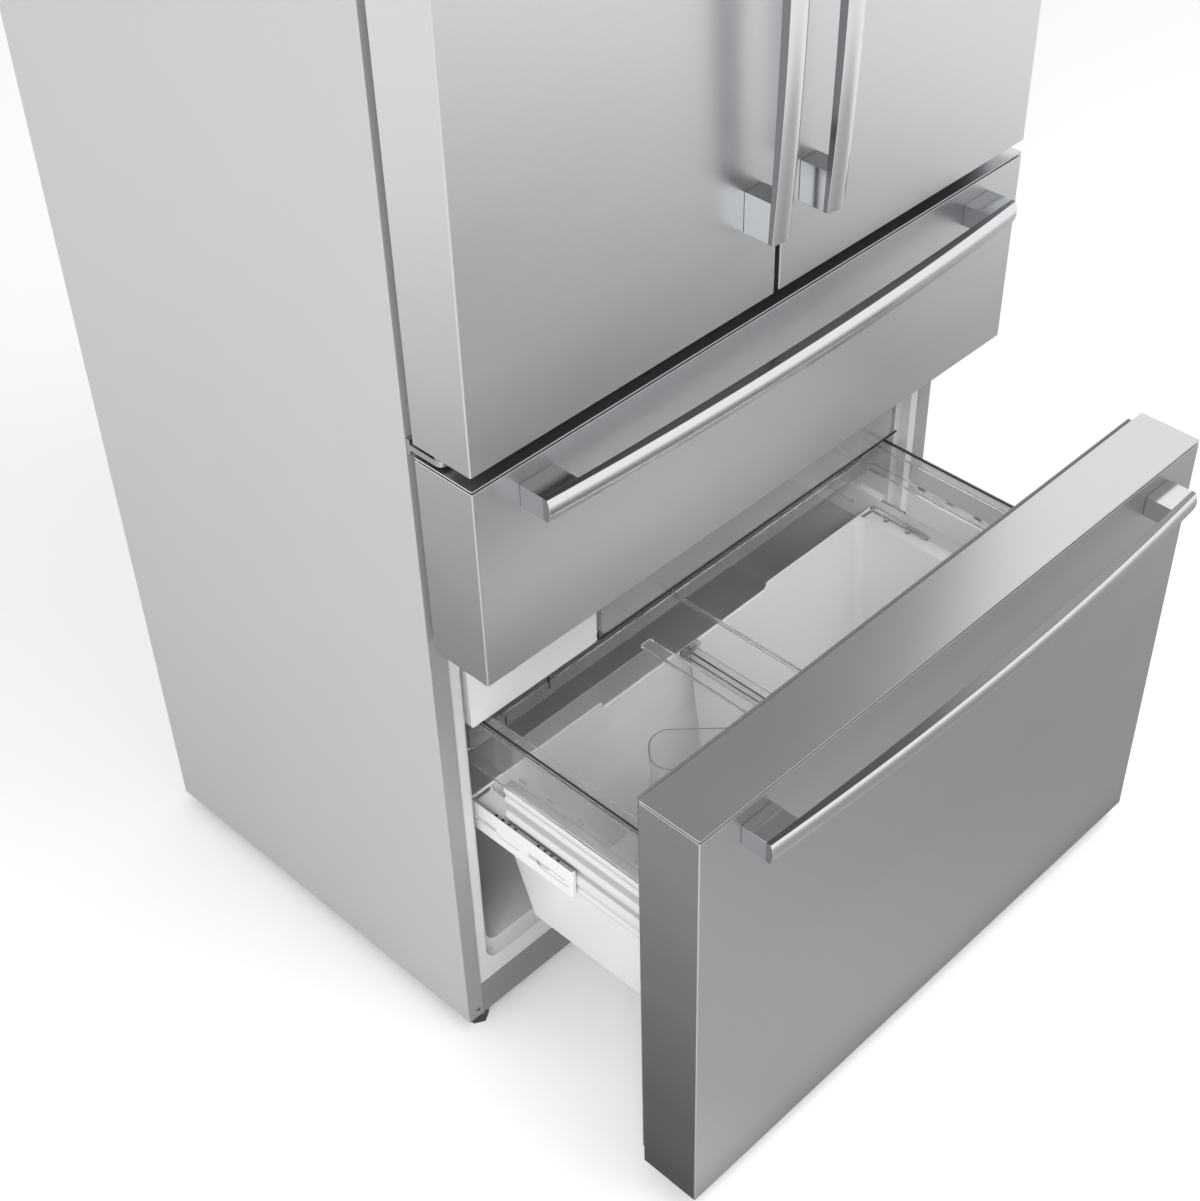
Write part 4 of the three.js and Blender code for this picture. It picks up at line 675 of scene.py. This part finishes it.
def handle_parts(length, bow):
    """The bar and its two blocks, as two meshes along X; their ends take a darker steel as painted
    shade.
    """
    blocks = bmesh.new()
    half = BAR_HALF - 0.1 * MM
    corners = [(y, z) for y, z in ((-BAR_BACK - BLOCK_OVERLAP, -half), (-0.3 * MM, -half),
                                   (-0.3 * MM, half), (-BAR_BACK - BLOCK_OVERLAP, half))]
    for side in (-1, 1):
        close_rings(blocks, [[blocks.verts.new((side * (length / 2 - inset), y, z))
                              for y, z in corners] for inset in (BLOCK_INSET, BLOCK_LENGTH)])
    bar = pulled_bar(length, bow)
    # End faces take the darker steel as painted shade.
    for work in (blocks, bar):
        for face in work.faces:
            if abs(face.normal.x) > 0.99:
                face.material_index = 1
    return to_mesh(bar, "bar", handle_steel), to_mesh(blocks, "blocks", handle_steel)


for node, bow in BOW_OF_HANDLE.items():
    low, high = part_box(node)
    upright = node.startswith("door")
    bar, blocks = handle_parts(high.z - low.z if upright else high.x - low.x, bow)
    # The bar's second finish is the painted reflection, the blocks' second is the painted shade.
    bar.materials.append(handle_edge)
    blocks.materials.append(handle_end)
    middle = (low + high) / 2
    stand = Matrix.Translation((middle.x, low.y + BAR_FRONT + bow, middle.z))
    if upright:
        stand = stand @ Matrix.Rotation(math.pi / 2, 4, "Y")
    bar.transform(stand)
    blocks.transform(stand)
    for label, mesh, rounding, angle in (("grip", bar, 0.35, 40),
                                         ("grip_blocks", blocks, 0.4, SHARP_ANGLE)):
        piece(node.replace("handle", label), mesh, body_of_node[node], (node,),
              rounding=rounding, angle=angle)
    print(node, "bows %.1f mm" % (bow / MM))

# %% [markdown]
# ## Rounded copies of the other solids
#
# Most solids already have their real shape, and only their edges are too sharp. Each one is
# replaced by a copy with a round that fits its material: half a millimetre on sheet, a little
# more on plastic, hardly any on glass. A star in a name stands for left and right. The
# forward faces of the cabinet's front flange get a darker copy of the cabinet paint, as painted
# shade, and the inner panel of the freezer drawer a brighter white plastic, as painted light.

# %% Round the solids
# A brighter white plastic: its own colour on the light covers, painted light on the freezer
# drawer's inner panel.
bright_plastic = solid_finish("bright_plastic", (0.88, 0.885, 0.885), 0.3, 500, 0.00002, 0.02)
SLOT_OF_FINISH["bright_plastic"] = slot_of_node["freezer_drawer_panel"]
SLOT_OF_FINISH["tray_plastic"] = "clear_plastic"
ROUNDINGS = {
    "cabinet_wrapper": 0.8, "kick_plate": 0.4, "base_tray": 0.5, "freezer_liner": 1.2,
    "middle_liner": 1.2, "fresh_food_liner": 1.2, "freezer_tub": 1.3, "middle_drawer_tub": 1.3,
    "ice_maker": 1.6, "freezer_clear_frame": 0.9, "freezer_upper_tray": 0.9, "tub_divider": 0.8,
    "freezer_rail_*": 0.5, "slide_member_*": 0.8, "freezer_drawer_panel": 1.2,
    "middle_drawer_panel": 1.2, "door_panel_*": 1.5, "door_bin_*": 0.9, "glass_shelf": 0.6,
    "crisper_cover": 0.6, "crisper_*": 0.9, "flip_mullion": 2.0, "middle_hinge_*": 0.8,
    "top_hinge_*": 0.8, "hinge_cover_*": 1.8, "foot_*": 0.8, "roller_*": 1.0,
    "compressor": 1.2, "fan_bracket": 0.6, "condenser_fan": 0.5, "evaporator_cover": 0.6,
}
# The freezer drawer's inner panel gets the brighter plastic as painted light.
FINISH_OF_NODE = {"freezer_upper_tray": tray_plastic, "freezer_drawer_panel": bright_plastic}
for name, rounding in ROUNDINGS.items():
    for node in dict.fromkeys(name.replace("*", label) for side, label in SIDES):
        copy_of(node, node + "_soft", (0, 0, 0), rounding, (node,), FINISH_OF_NODE.get(node))
# A darker copy of the cabinet paint for the flange's forward faces: painted shade.
flange_paint = solid_finish("flange_paint", (0.325, 0.327, 0.322), 0.38, 700, 0.00003)
wrapper = scene_objects["cabinet_wrapper_soft"].data
wrapper.materials.append(flange_paint)
FLANGE_DEPTH = 11 * MM
flange_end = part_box("cabinet_wrapper")[0].y + FLANGE_DEPTH
# Forward faces near the front get the painted shade.
for polygon in wrapper.polygons:
    if polygon.normal.y < -0.9 and polygon.center.y < flange_end:
        polygon.material_index = 1
print(len(ROUNDINGS), "kinds of rounded copies")

# %% [markdown]
# ## Shapes with one section
#
# Strips, ribs and rims keep one section along their length. Two helpers make them: one closes
# a block between two outlines, and one lays a round bead along a path with a curve and its
# bevel, which is then turned into a mesh with closed ends.

# %% Pulled and laid shapes
def block(name, x, y, z, finish, rounding=0.0, segments=2, body="freezer_drawer"):
    """A closed block from three (low, high) pairs in millimetres, as a piece."""
    work = bmesh.new()
    corners = ((x[0], y[0]), (x[1], y[0]), (x[1], y[1]), (x[0], y[1]))
    close_rings(work, [[work.verts.new(Vector((*corner, height)) * MM) for corner in corners]
                       for height in z])
    return piece(name, to_mesh(work, name), body, (), finish, rounding, segments)


def bead(name, points, radius, finish, body="freezer_drawer", closed=False, sides=2):
    """A round bead of that radius along the points, all in millimetres, as a piece."""
    line = bpy.data.curves.new(name, "CURVE")
    line.dimensions = "3D"
    line.bevel_depth, line.bevel_resolution, line.use_fill_caps = radius * MM, sides, True
    path = line.splines.new("POLY")
    path.points.add(len(points) - 1)
    for point, spot in zip(path.points, points):
        point.co = (*(Vector(spot) * MM), 1)
    path.use_cyclic_u = closed
    holder = bpy.data.objects.new(name, line)
    scene_objects.link(holder)
    mesh = evaluated_mesh(holder)
    bpy.data.objects.remove(holder)
    return piece(name, mesh, body, (), finish, angle=BEAD_ANGLE)


print("shape helpers ready")

# %% [markdown]
# ## Drawer profiles
#
# The drawer hangs on a long white profile at each side. It is rolled with beads, a broad one
# below and two small ones on top, and light breaks into bright and grey stripes on them; the
# faces in the grooves between the beads are also painted a darker white, as painted shade.
# The section is drawn once as a row of bulges, from the outer face inwards and from the bottom
# up, and closed between its two ends; the right one mirrors the points, not the mesh, so that
# nothing has to be turned inside out.

# %% Ridged profiles
def bulge(base, low, high, rise, steps=7):
    """Points of a rounded bead between two heights, standing out by rise from its base depth."""
    return [(base - rise * math.sin(math.pi * i / steps), low + (high - low) * i / steps)
            for i in range(steps + 1)]


profile_section = (
    bulge(2.6, 345, 356.5, 2.3) + bulge(2.6, 358, 378.5, 2.4) + [(6.0, 380.5), (6.0, 385.5)]
    + bulge(3.0, 387, 403.5, 2.8) + [(4.6, 414.5)]
    + bulge(3.2, 416.5, 428, 3.0) + bulge(3.2, 430, 444.4, 3.0)
    + [(14.0, 444.4), (15.8, 442.5), (15.8, 405), (8.0, 398), (8.0, 345)])
profile_white = solid_finish("profile_white", (0.70, 0.705, 0.71), 0.2, 500, 0.00002, 0.02)
# A darker copy of the profile white for the groove faces: painted shade.
groove_white = solid_finish("groove_white", (0.45, 0.455, 0.46), 0.3, 500, 0.00002, 0.02)
SLOT_OF_FINISH["profile_white"] = SLOT_OF_FINISH["groove_white"] = "white_plastic"
OUTER_FACE = 390.7
SHADED_GROOVES = ((356, 358.5), (378, 387), (404, 417), (428, 430.5))
for side, label in SIDES:
    work = bmesh.new()
    close_rings(work, [[work.verts.new((side * (OUTER_FACE - depth) * MM, end.y, height * MM))
                        for depth, height in profile_section]
                       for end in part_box("drawer_profile_" + label)])
    mesh = to_mesh(work, "profile", profile_white)
    mesh.materials.append(groove_white)
    for face in mesh.polygons:
        if any(low < face.center.z / MM < high for low, high in SHADED_GROOVES):
            face.material_index = 1
    made = piece("profile_ridged_" + label, mesh, "freezer_drawer", ("drawer_profile_" + label,),
                 rounding=0.5, angle=40)
    print(made.name, len(made.data.polygons), "faces")

# %% [markdown]
# ## Balls in the slides
#
# Between the sliding member and the profile run steel balls, held in groups by a strip. Strip
# and balls are painted dark grey and nearly black, as painted shade of the narrow gap they sit in.
# They are one small ball on a line of points, and that line again on a line of groups, which
# Geometry Nodes does with two Instance on Points nodes. Only the tops of the balls show above
# the strip, and the fixed rail passes 0.4 mm over it, so the row is pressed flat.

# %% Ball strip
# Dark grey: the keys' own colour on the control strip, painted shade on slide strips, slots and
# frame lines.
slide_grey = solid_finish("slide_grey", (0.30, 0.305, 0.31), 0.5, 700, 0.00003)
SLOT_OF_FINISH["slide_grey"] = "gasket_rubber"


def ball_tree():
    """Groups of balls along Y, with the size, count and pitch of balls and groups as inputs."""
    tree, sizes = start_tree("slide_balls", {"Radius": 0.0026, "Balls": 4, "Pitch": 0.011,
                                             "Groups": 2, "Group Pitch": 0.072})
    values = {"Radius": sizes["Radius"], "Subdivisions": 2}
    ball = add_node(tree, "GeometryNodeMeshIcoSphere", values)
    smooth = add_node(tree, "GeometryNodeSetShadeSmooth", {"Geometry": ball.outputs["Mesh"]})
    row = on_line(tree, smooth.outputs[0], sizes["Balls"], vector(tree, 0, sizes["Pitch"]))
    rows = on_line(tree, row, sizes["Groups"], vector(tree, 0, sizes["Group Pitch"]))
    end_tree(tree, rows, sizes["Finish"])
    return tree


slide_ball_tree = ball_tree()
# Nearly black steel for the balls: painted shade in the gap.
ball_steel = brushed_steel("ball_steel", (0.06, 0.06, 0.065), 0.3, 0.00001)
SLOT_OF_FINISH["ball_steel"] = "zinc_plate"
FIRST_BALL = Vector((393.7, -203, 388.1))
FLATTENED = Matrix.Diagonal((0.8, 1, 0.13, 1))
SLOT_PATHS = (((-100, 362), (-106, 356), (-138, 358)), ((-168, 363), (-175, 356), (-222, 358)),
              ((-187, 366), (-216, 365)), ((-30, 362), (-36, 356), (-66, 358)))
for side, label in SIDES:
    balls = grow(slide_ball_tree, Finish=ball_steel)
    start = Vector((side * FIRST_BALL.x, FIRST_BALL.y, FIRST_BALL.z)) * MM
    balls.transform(Matrix.Translation(start) @ FLATTENED)
    piece("slide_balls_" + label, balls, "freezer_slides")
    # A dark strip on the ledge: painted shade of the gap under the profile.
    across = sorted((391.5 * side, 396.0 * side))
    block("slide_strip_" + label, across, (-228, 66), (387.6, 388.15), slide_grey,
          body="freezer_slides")
    # Slots drawn as dark grey beads: painted shade of the openings.
    for number, path in enumerate(SLOT_PATHS):
        bead("slide_slot_%s_%d" % (label, number), [(396.2 * side, y, z) for y, z in path], 0.9,
             slide_grey, "freezer_slides")
print("ball strips and slots")

# %% [markdown]
# ## Rim of the freezer tub
#
# The tub's wall ends in a rounded rim that is thicker than the wall and dips in the middle of
# the rear side. A bead laid along the edge gives it the bright line that the real one shows.

# %% Tub rim
tub_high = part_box("freezer_tub")[1] / MM
rear = tub_high.y - 1.9
edge, dip = tub_high.z - 0.6, tub_high.z - 10.6
rim_path = [(-383, rear, edge), (-163, rear, edge), (-158, rear, dip), (158, rear, dip),
            (163, rear, edge), (383, rear, edge)]
bead("tub_rim", rim_path, 2.1, white_plastic)
bead("divider_post", [(0, rear - 6, 362), (0, rear - 22, 170)], 2.4, clear_plastic)
block("divider_latch", (-17, 17), (rear - 11, rear - 3), (361, 371), clear_plastic, 1.5, 3)
block("tub_latch_bar", (376.5, 384.5), (-150, -48), (376, 382), clear_plastic, 2.4, 3)
for number, y in enumerate((-80, -118)):
    bead("tub_latch_knob_%d" % number, [(374, y, 377), (374, y, 380)], 4, clear_plastic, sides=5)
print("tub rim, divider latch and side latch")

# %% [markdown]
# ## The clear upper frame
#
# A clear moulding stands on the two profiles, with a sheet over its left bay and two ribs from
# back to front. Along the left and right edges of its wall run a black bead and a thin grey
# line, painted reflections of the dark edge lines that clear plastic shows; the slots in its
# sides are grey patches, painted shade. Sheet and ribs are closed solids, so the light draws
# their edges as thin lines. A black bead along the front edge of the tray is another painted
# reflection of an edge line.

# %% Sheet, ribs and cords of the frame
FRAME_Y = (-383, -39)
block("frame_sheet", (-371, -148), (FRAME_Y[0], -113.5), (503.5, 505.5), clear_plastic, 0.5)
block("frame_cross_rail", (-147.6, -131), (FRAME_Y[0], -104), (499, 505.5), clear_plastic, 0.7)
block("frame_rib", (-51.5, -48.5), FRAME_Y, (500, 505.5), clear_plastic, 0.5)
for side, label in SIDES:
    # Black and grey beads at the edges: painted reflection of the dark edge lines of clear
    # plastic.
    bead("frame_cord_" + label, [(373.5 * side, y, 508.3) for y in FRAME_Y], 1.5, black_paint)
    bead("frame_line_" + label, [(378.0 * side, y, 503.0) for y in FRAME_Y], 0.6, slide_grey)
    # Grey patches for the slots in the frame's sides: painted shade.
    across = sorted((377.9 * side, 378.5 * side))
    for number, y in enumerate((-132, -180, -226, -274, -320)):
        height = 3.5 if number % 2 else 5
        block("frame_slot_%s_%d" % (label, number), across, (y - 6, y + 6), (461 - height, 461),
              slide_grey)
for number, (x, low, high) in enumerate(((-243, 455, 474), (-317, 446, 460))):
    block("frame_clip_%d" % number, (x - 1.6, x + 1.6), (-38.2, -37.2), (low, high),
          black_paint, 0.3, 1)
# A black bead along the tray's front edge: painted reflection of an edge line.
tray_low, tray_high = (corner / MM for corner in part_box("freezer_upper_tray"))
left, front = tray_low.x, tray_low.y - 0.2
bead("tray_edge_line", [(left, front, 526), (left, front, 520), (left + 1.5, front, 516),
                        (left + 5.5, front, 514.6), (tray_high.x - 3, front, 514.6)],
     1.5, black_paint, "freezer_upper_tray")
print("frame and tray trims")

# %% [markdown]
# ## A clear bin in the tub
#
# A tall clear bin stands turned in the left half of the tub; only its rim is easy to see. Its
# outline is a rectangle with round corners, drawn outside and inside, so the wall has a real
# thickness for the light to bend in.

# %% Clear bin
def round_outline(width, depth, radius, steps=8):
    """A rectangle with round corners about the origin, as points."""
    x_middle, y_middle = width / 2 - radius, depth / 2 - radius
    corners = ((x_middle, y_middle, 0), (-x_middle, y_middle, 90),
               (-x_middle, -y_middle, 180), (x_middle, -y_middle, 270))
    return [(x + radius * math.cos(math.radians(start + 90 * i / steps)),
             y + radius * math.sin(math.radians(start + 90 * i / steps)))
            for x, y, start in corners for i in range(steps + 1)]


def open_bin(width, depth, radius, wall, low, high):
    """A bin with a floor, an open top and walls of even thickness."""
    work = bmesh.new()
    outside = round_outline(width, depth, radius)
    inside = round_outline(width - 2 * wall, depth - 2 * wall, radius - wall)
    close_rings(work, [[work.verts.new(Vector((x, y, z)) * MM) for x, y in outline]
                       for outline, z in ((outside, low), (outside, high), (inside, high),
                                          (inside, low + wall))])
    return to_mesh(work, "bin")


BIN_WIDTH, BIN_DEPTH = 150, 74
bin_mesh = open_bin(BIN_WIDTH, BIN_DEPTH, radius=30, wall=2.0, low=148.5, high=342)
bin_mesh.transform(Matrix.Translation((BIN_WIDTH / 2 * MM, -BIN_DEPTH / 2 * MM, 0)))
bin_corner = Matrix.Translation(Vector((-131, -97.5, 0)) * MM)
bin_mesh.transform(bin_corner @ Matrix.Rotation(math.radians(-45), 4, "Z"))
piece("clear_bin", bin_mesh, "freezer_drawer", (), clear_plastic, 0.6)
print("clear bin", BIN_WIDTH, "x", BIN_DEPTH, "mm")

# %% [markdown]
# ## Gaskets
#
# A door gasket is a soft hollow strip with pleats, held in a groove of the inner panel. Its
# solid is a plain frame, so two beads laid round it stand for the pleats and catch the light.

# %% Gasket pleats
PLEAT_PLACES = (0.36, 0.74)
for node in ("door_gasket_left", "door_gasket_right", "middle_drawer_gasket",
             "freezer_drawer_gasket"):
    low, high = (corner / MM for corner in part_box(node))
    middle, size = (low + high) / 2, high - low
    outline = round_outline(size.x, size.z, radius=9, steps=4)
    for number, share in enumerate(PLEAT_PLACES):
        loop = [(middle.x + x, low.y + size.y * share, middle.z + z) for x, z in outline]
        bead("%s_pleat_%d" % (node, number), loop, 1.1, gasket_rubber, body_of_node[node],
             closed=True, sides=1)
print("gasket pleats")

# %% [markdown]
# ## Screws
#
# Screws hold the kick plate, the rear panel, the machine cover and the flanges. They are all
# the same pan head with a cross recess, so one small head is set on the points of a line by
# Geometry Nodes, and each row only has its own start, step and count. The two rear sheets sit
# a millimetre inside the edge of the cabinet, so that the heads on them end level with it.

# %% Screw rows
HEAD_RADIUS, HEAD_TOP_RADIUS, HEAD_HEIGHT, HEAD_POINTS = 3.6, 2.592, 1.5, 16
RECESS_HALF_WIDTH, RECESS_REACH, RECESS_DEPTH = 0.5, 1.375, 0.8
RECESS_TAPER = 1.6 / 1.9


def cross_head():
    """A low round head, looking towards -Y, with a cross pressed into it."""
    work = bmesh.new()

    def ring(outline, y):
        """Points of an outline at depth y."""
        return [work.verts.new(Vector((x, y, z)) * MM) for x, z in outline]

    turns = [2 * math.pi * i / HEAD_POINTS for i in range(HEAD_POINTS)]
    rim, top = (ring([(radius * math.cos(a), radius * math.sin(a)) for a in turns], y)
                for radius, y in ((HEAD_RADIUS, 0), (HEAD_TOP_RADIUS, -HEAD_HEIGHT)))
    half, reach = RECESS_HALF_WIDTH, RECESS_REACH
    cross, arm = [], [(half, reach), (-half, reach), (-half, half)]
    for _ in range(4):
        cross += arm
        arm = [(-z, x) for x, z in arm]
    mouth = ring(cross, -HEAD_HEIGHT)
    floor = ring([(x * RECESS_TAPER, z * RECESS_TAPER) for x, z in cross],
                 RECESS_DEPTH - HEAD_HEIGHT)
    wall_between(work, rim, top)
    wall_between(work, mouth, floor)
    edges = [work.edges.get((loop[i - 1], loop[i])) for loop in (top, mouth)
             for i in range(len(loop))]
    bmesh.ops.triangle_fill(work, edges=edges, use_beauty=True)
    work.faces.new(floor)
    work.faces.new(rim)
    bmesh.ops.recalc_face_normals(work, faces=work.faces)
    return to_mesh(work, "cross_head")


def screw_tree():
    """Copies of one head on a line; the number of heads and the step between are inputs."""
    tree, sizes = start_tree("screw_row", {"Count": 4, "Step X": 0.1, "Step Z": 0.0})
    head = bpy.data.objects.new("screw_head", cross_head())
    info = add_node(tree, "GeometryNodeObjectInfo", {"Object": head})
    step = vector(tree, sizes["Step X"], 0, sizes["Step Z"])
    end_tree(tree, on_line(tree, info.outputs["Geometry"], sizes["Count"], step), sizes["Finish"])
    return tree


SEAT_DEPTH = 1.1
for node in ("rear_panel", "machine_cover"):
    copy_of(node, node + "_seated", (0, -SEAT_DEPTH, 0), 0.0, (node,))
screw_row_tree = screw_tree()
FRONT, REAR = (-77.4, 0), (535.0, math.pi)
SCREW_ROWS = {
    "kick_screws": (FRONT, (-400, 28), (800, 0), 2, frame_paint),
    "flange_screws_low": (FRONT, (-436, 33), (872, 0), 2, zinc),
    "rear_screws_top": (REAR, (-430, 1765), (172, 0), 6, zinc),
    "rear_screws_left": (REAR, (-442, 330), (0, 280), 6, zinc),
    "rear_screws_right": (REAR, (442, 330), (0, 280), 6, zinc),
    "cover_screws_top": (REAR, (-430, 268), (172, 0), 6, zinc),
    "cover_screws_low": (REAR, (-430, 30), (172, 0), 6, zinc),
}
for name, ((y, turn), (x, z), step, count, finish) in SCREW_ROWS.items():
    turned = Matrix.Rotation(turn, 4, "Z")
    row = grow(screw_row_tree, Count=count, Step_X=step[0] * MM * round(math.cos(turn)),
               Step_Z=step[1] * MM, Finish=finish)
    row.transform(Matrix.Translation(Vector((x, y, z)) * MM) @ turned)
    piece(name, row, "cabinet")
print(len(SCREW_ROWS), "rows of screws")

# %% [markdown]
# ## Fittings behind the doors
#
# With the doors open one sees two more bins in each door, a second glass shelf, a control
# strip under the ceiling and two light covers. The bins and the shelf are copies of the solid
# ones at other heights, because in the real cabinet they are the same mouldings.

# %% Bins, shelf and covers
for side, label in SIDES:
    for number, rise in ((2, 215), (3, 430)):
        copy_of("door_bin_" + label, "door_bin_%s_%d" % (label, number), (0, 0, rise), 0.9)
copy_of("glass_shelf", "glass_shelf_2", (0, 0, -140), 0.6)
CEILING = 1767.2
for label, x in (("left", (-300, -60)), ("right", (60, 300))):
    block("fresh_light_" + label, x, (60, 110), (1758, CEILING), bright_plastic, 2.5, 3, "cabinet")
block("control_strip", (-160, 160), (-70, -20), (1752, CEILING), white_plastic, 2.5, 3, "cabinet")
for number, x in enumerate(range(-100, 101, 50)):
    bead("control_key_%d" % number, [(x, -45, 1752.2), (x, -45, 1751.2)], 8, slide_grey,
         "cabinet", sides=5)
print("fittings behind the doors")

# %% [markdown]
# ## Floor and light
#
# The photograph has no visible floor, only white, and its steel shows a dark floor close to
# the object that turns bright further out. The floor here is white and keeps the shadow, and
# fades into the white behind it a few metres away. What the steel sees of it grows brighter
# with distance.

# %% Floor
FLOOR_SIZE = 40.0
floor_mesh = bpy.data.meshes.new("floor")
corners = [(x * FLOOR_SIZE / 2, y * FLOOR_SIZE / 2, 0)
           for x, y in ((-1, -1), (1, -1), (1, 1), (-1, 1))]
floor_mesh.from_pydata(corners, [], [(0, 1, 2, 3)])
floor = bpy.data.objects.new("floor", floor_mesh)
scene_objects.link(floor)

floor_finish = bpy.data.materials.new("studio_floor")
floor_finish.use_nodes = True
tree = floor_finish.node_tree
tree.nodes.clear()


def stops(tree, value, reach, points):
    """A grey that follows value along the given (place, grey) points up to reach."""
    ramp = add_node(tree, "ShaderNodeValToRGB", {"Fac": calc(tree, "DIVIDE", value, reach)})
    while len(ramp.color_ramp.elements) < len(points):
        ramp.color_ramp.elements.new(0.5)
    for element, (spot, grey) in zip(ramp.color_ramp.elements, points):
        element.position, element.color = spot / reach, (grey, grey, grey, 1)
    return ramp.outputs["Color"]


def outside(tree, value, low, high):
    """How far value lies outside low..high."""
    above, below = calc(tree, "SUBTRACT", value, high), calc(tree, "SUBTRACT", low, value)
    return calc(tree, "MAXIMUM", calc(tree, "MAXIMUM", above, below), 0.0)


def length(tree, value):
    """The length of a vector."""
    return add_node(tree, "ShaderNodeVectorMath", {0: value}, operation="LENGTH").outputs["Value"]


def blend(tree, factor, first, second):
    """Two shaders, mixed by factor."""
    values = {0: factor, 1: first.outputs[0], 2: second.outputs[0]}
    return add_node(tree, "ShaderNodeMixShader", values)


FOOTPRINT_X, FOOTPRINT_Y = (-0.4525, 0.4525), (-0.6, 0.529)
# Painted reflection of the floor for mirror rays: painted shadow near the object, lighter with
# distance.
SIDE_STOPS = [(0, 0.09), (0.38, 0.26), (0.75, 0.37), (0.86, 0.44), (1.5, 0.84), (2.0, 0.97)]
FRONT_STOPS = [(0, 0.30), (0.5, 0.37), (0.8, 0.46), (1.0, 0.47), (1.5, 0.90), (2.2, 1.0)]
DARKEST_AHEAD = (0.6, -1.05, 0)
FADE_START, FADE_END = 1.5, 5.0

axes = add_node(tree, "ShaderNodeSeparateXYZ", {"Vector": place(tree)}).outputs
beside = length(tree, vector(tree, outside(tree, axes["X"], *FOOTPRINT_X),
                             outside(tree, axes["Y"], *FOOTPRINT_Y), 0))
ahead = length(tree, place(tree, offset=[-part for part in DARKEST_AHEAD]))
in_front = between(tree, axes["Y"], 1, 0, -0.52, -0.46)
painted_reflection_glow = add_node(tree, "ShaderNodeMix", {
    0: in_front, 6: stops(tree, beside, 2.0, SIDE_STOPS),
    7: stops(tree, ahead, 2.4, FRONT_STOPS)}, data_type="RGBA")

paper = add_node(tree, "ShaderNodeBsdfDiffuse", {"Color": (0.9, 0.9, 0.9, 1)})
lifted = add_node(tree, "ShaderNodeEmission", {"Strength": 0.12})
near = add_node(tree, "ShaderNodeAddShader", {0: paper.outputs[0], 1: lifted.outputs[0]})
white = add_node(tree, "ShaderNodeEmission", {"Strength": 1.0})
seen = blend(tree, between(tree, beside, 0, 1, FADE_START, FADE_END), near, white)
# Mirror rays see this painted glow instead of the lit floor.
reflected = add_node(tree, "ShaderNodeEmission", {"Color": painted_reflection_glow.outputs[2], "Strength": 1.0})
ray = add_node(tree, "ShaderNodeLightPath").outputs
choice = blend(tree, ray["Is Glossy Ray"], seen, reflected)
add_node(tree, "ShaderNodeOutputMaterial", {"Surface": choice.outputs[0]})
floor_mesh.materials.append(floor_finish)
print("floor", FLOOR_SIZE, "m")

# %% [markdown]
# The room lights everything evenly, and it is plain white wherever the camera, a mirror or a
# clear wall sees it. Only the steel sees a darker ceiling in front of the refrigerator, which
# gives the fronts their slow run from light to dark.

# %% World
ROOM_LIGHT, CEILING_SHADE = 0.72, 0.77
world = bpy.data.worlds.new("studio")
bpy.context.scene.world = world
world.use_nodes = True
tree = world.node_tree
tree.nodes.clear()
ray = add_node(tree, "ShaderNodeLightPath").outputs
shown = calc(tree, "MAXIMUM", ray["Is Camera Ray"], ray["Is Glossy Ray"])
shown = calc(tree, "MAXIMUM", shown, ray["Is Transmission Ray"])
light = add_node(tree, "ShaderNodeBackground",
                 {"Color": (0.985, 0.99, 1.0, 1), "Strength": ROOM_LIGHT})
direction = add_node(tree, "ShaderNodeTexCoord").outputs["Generated"]
toward = add_node(tree, "ShaderNodeSeparateXYZ", {"Vector": direction}).outputs
high = between(tree, toward["Z"], 0, 1, 0.20, 0.55)
frontal = between(tree, toward["Y"], 1, 0, -0.35, 0.25)
darker = calc(tree, "MULTIPLY", calc(tree, "MULTIPLY", high, frontal), CEILING_SHADE)
shade = calc(tree, "SUBTRACT", 1.0, darker)
seen_as = calc(tree, "MAXIMUM", shade, ray["Is Camera Ray"])
backdrop = add_node(tree, "ShaderNodeBackground", {"Color": (1, 1, 1, 1), "Strength": seen_as})
room = blend(tree, shown, light, backdrop)
add_node(tree, "ShaderNodeOutputWorld", {"Surface": room.outputs[0]})
print("room light", ROOM_LIGHT)

# %% [markdown]
# Two broad lamps, high at the left and high in front, give the soft shadow on the floor. The
# freezer has a light of its own under the middle drawer. It is weak, and without it the back
# of the open drawer front would be much too dark. No lamp shows as a spot in the steel.

# %% Lamps
def softbox(name, spot, aim, size, watts):
    """A lamp of size (wide, high) metres at spot that faces aim and isn't mirrored."""
    lamp = bpy.data.lights.new(name, "AREA")
    lamp.shape = "RECTANGLE"
    lamp.size, lamp.size_y = size
    lamp.energy = watts
    made = bpy.data.objects.new(name, lamp)
    scene_objects.link(made)
    made.location = spot
    made.rotation_mode = "QUATERNION"
    made.rotation_quaternion = (Vector(aim) - Vector(spot)).to_track_quat("-Z", "Y")
    made.visible_glossy = False
    return made


softbox("key_lamp", (-3.6, -2.6, 3.4), (0, 0, 0.8), (2.4, 2.4), 120)
softbox("top_lamp", (0.6, -1.6, 4.2), (0, -0.2, 0.4), (2.2, 2.2), 75)
freezer_light = softbox("freezer_light", (0, -0.13, 0.675), (0, -0.39, 0.54), (0.7, 0.03), 0.8)
freezer_light.visible_transmission = False
print("three lamps")
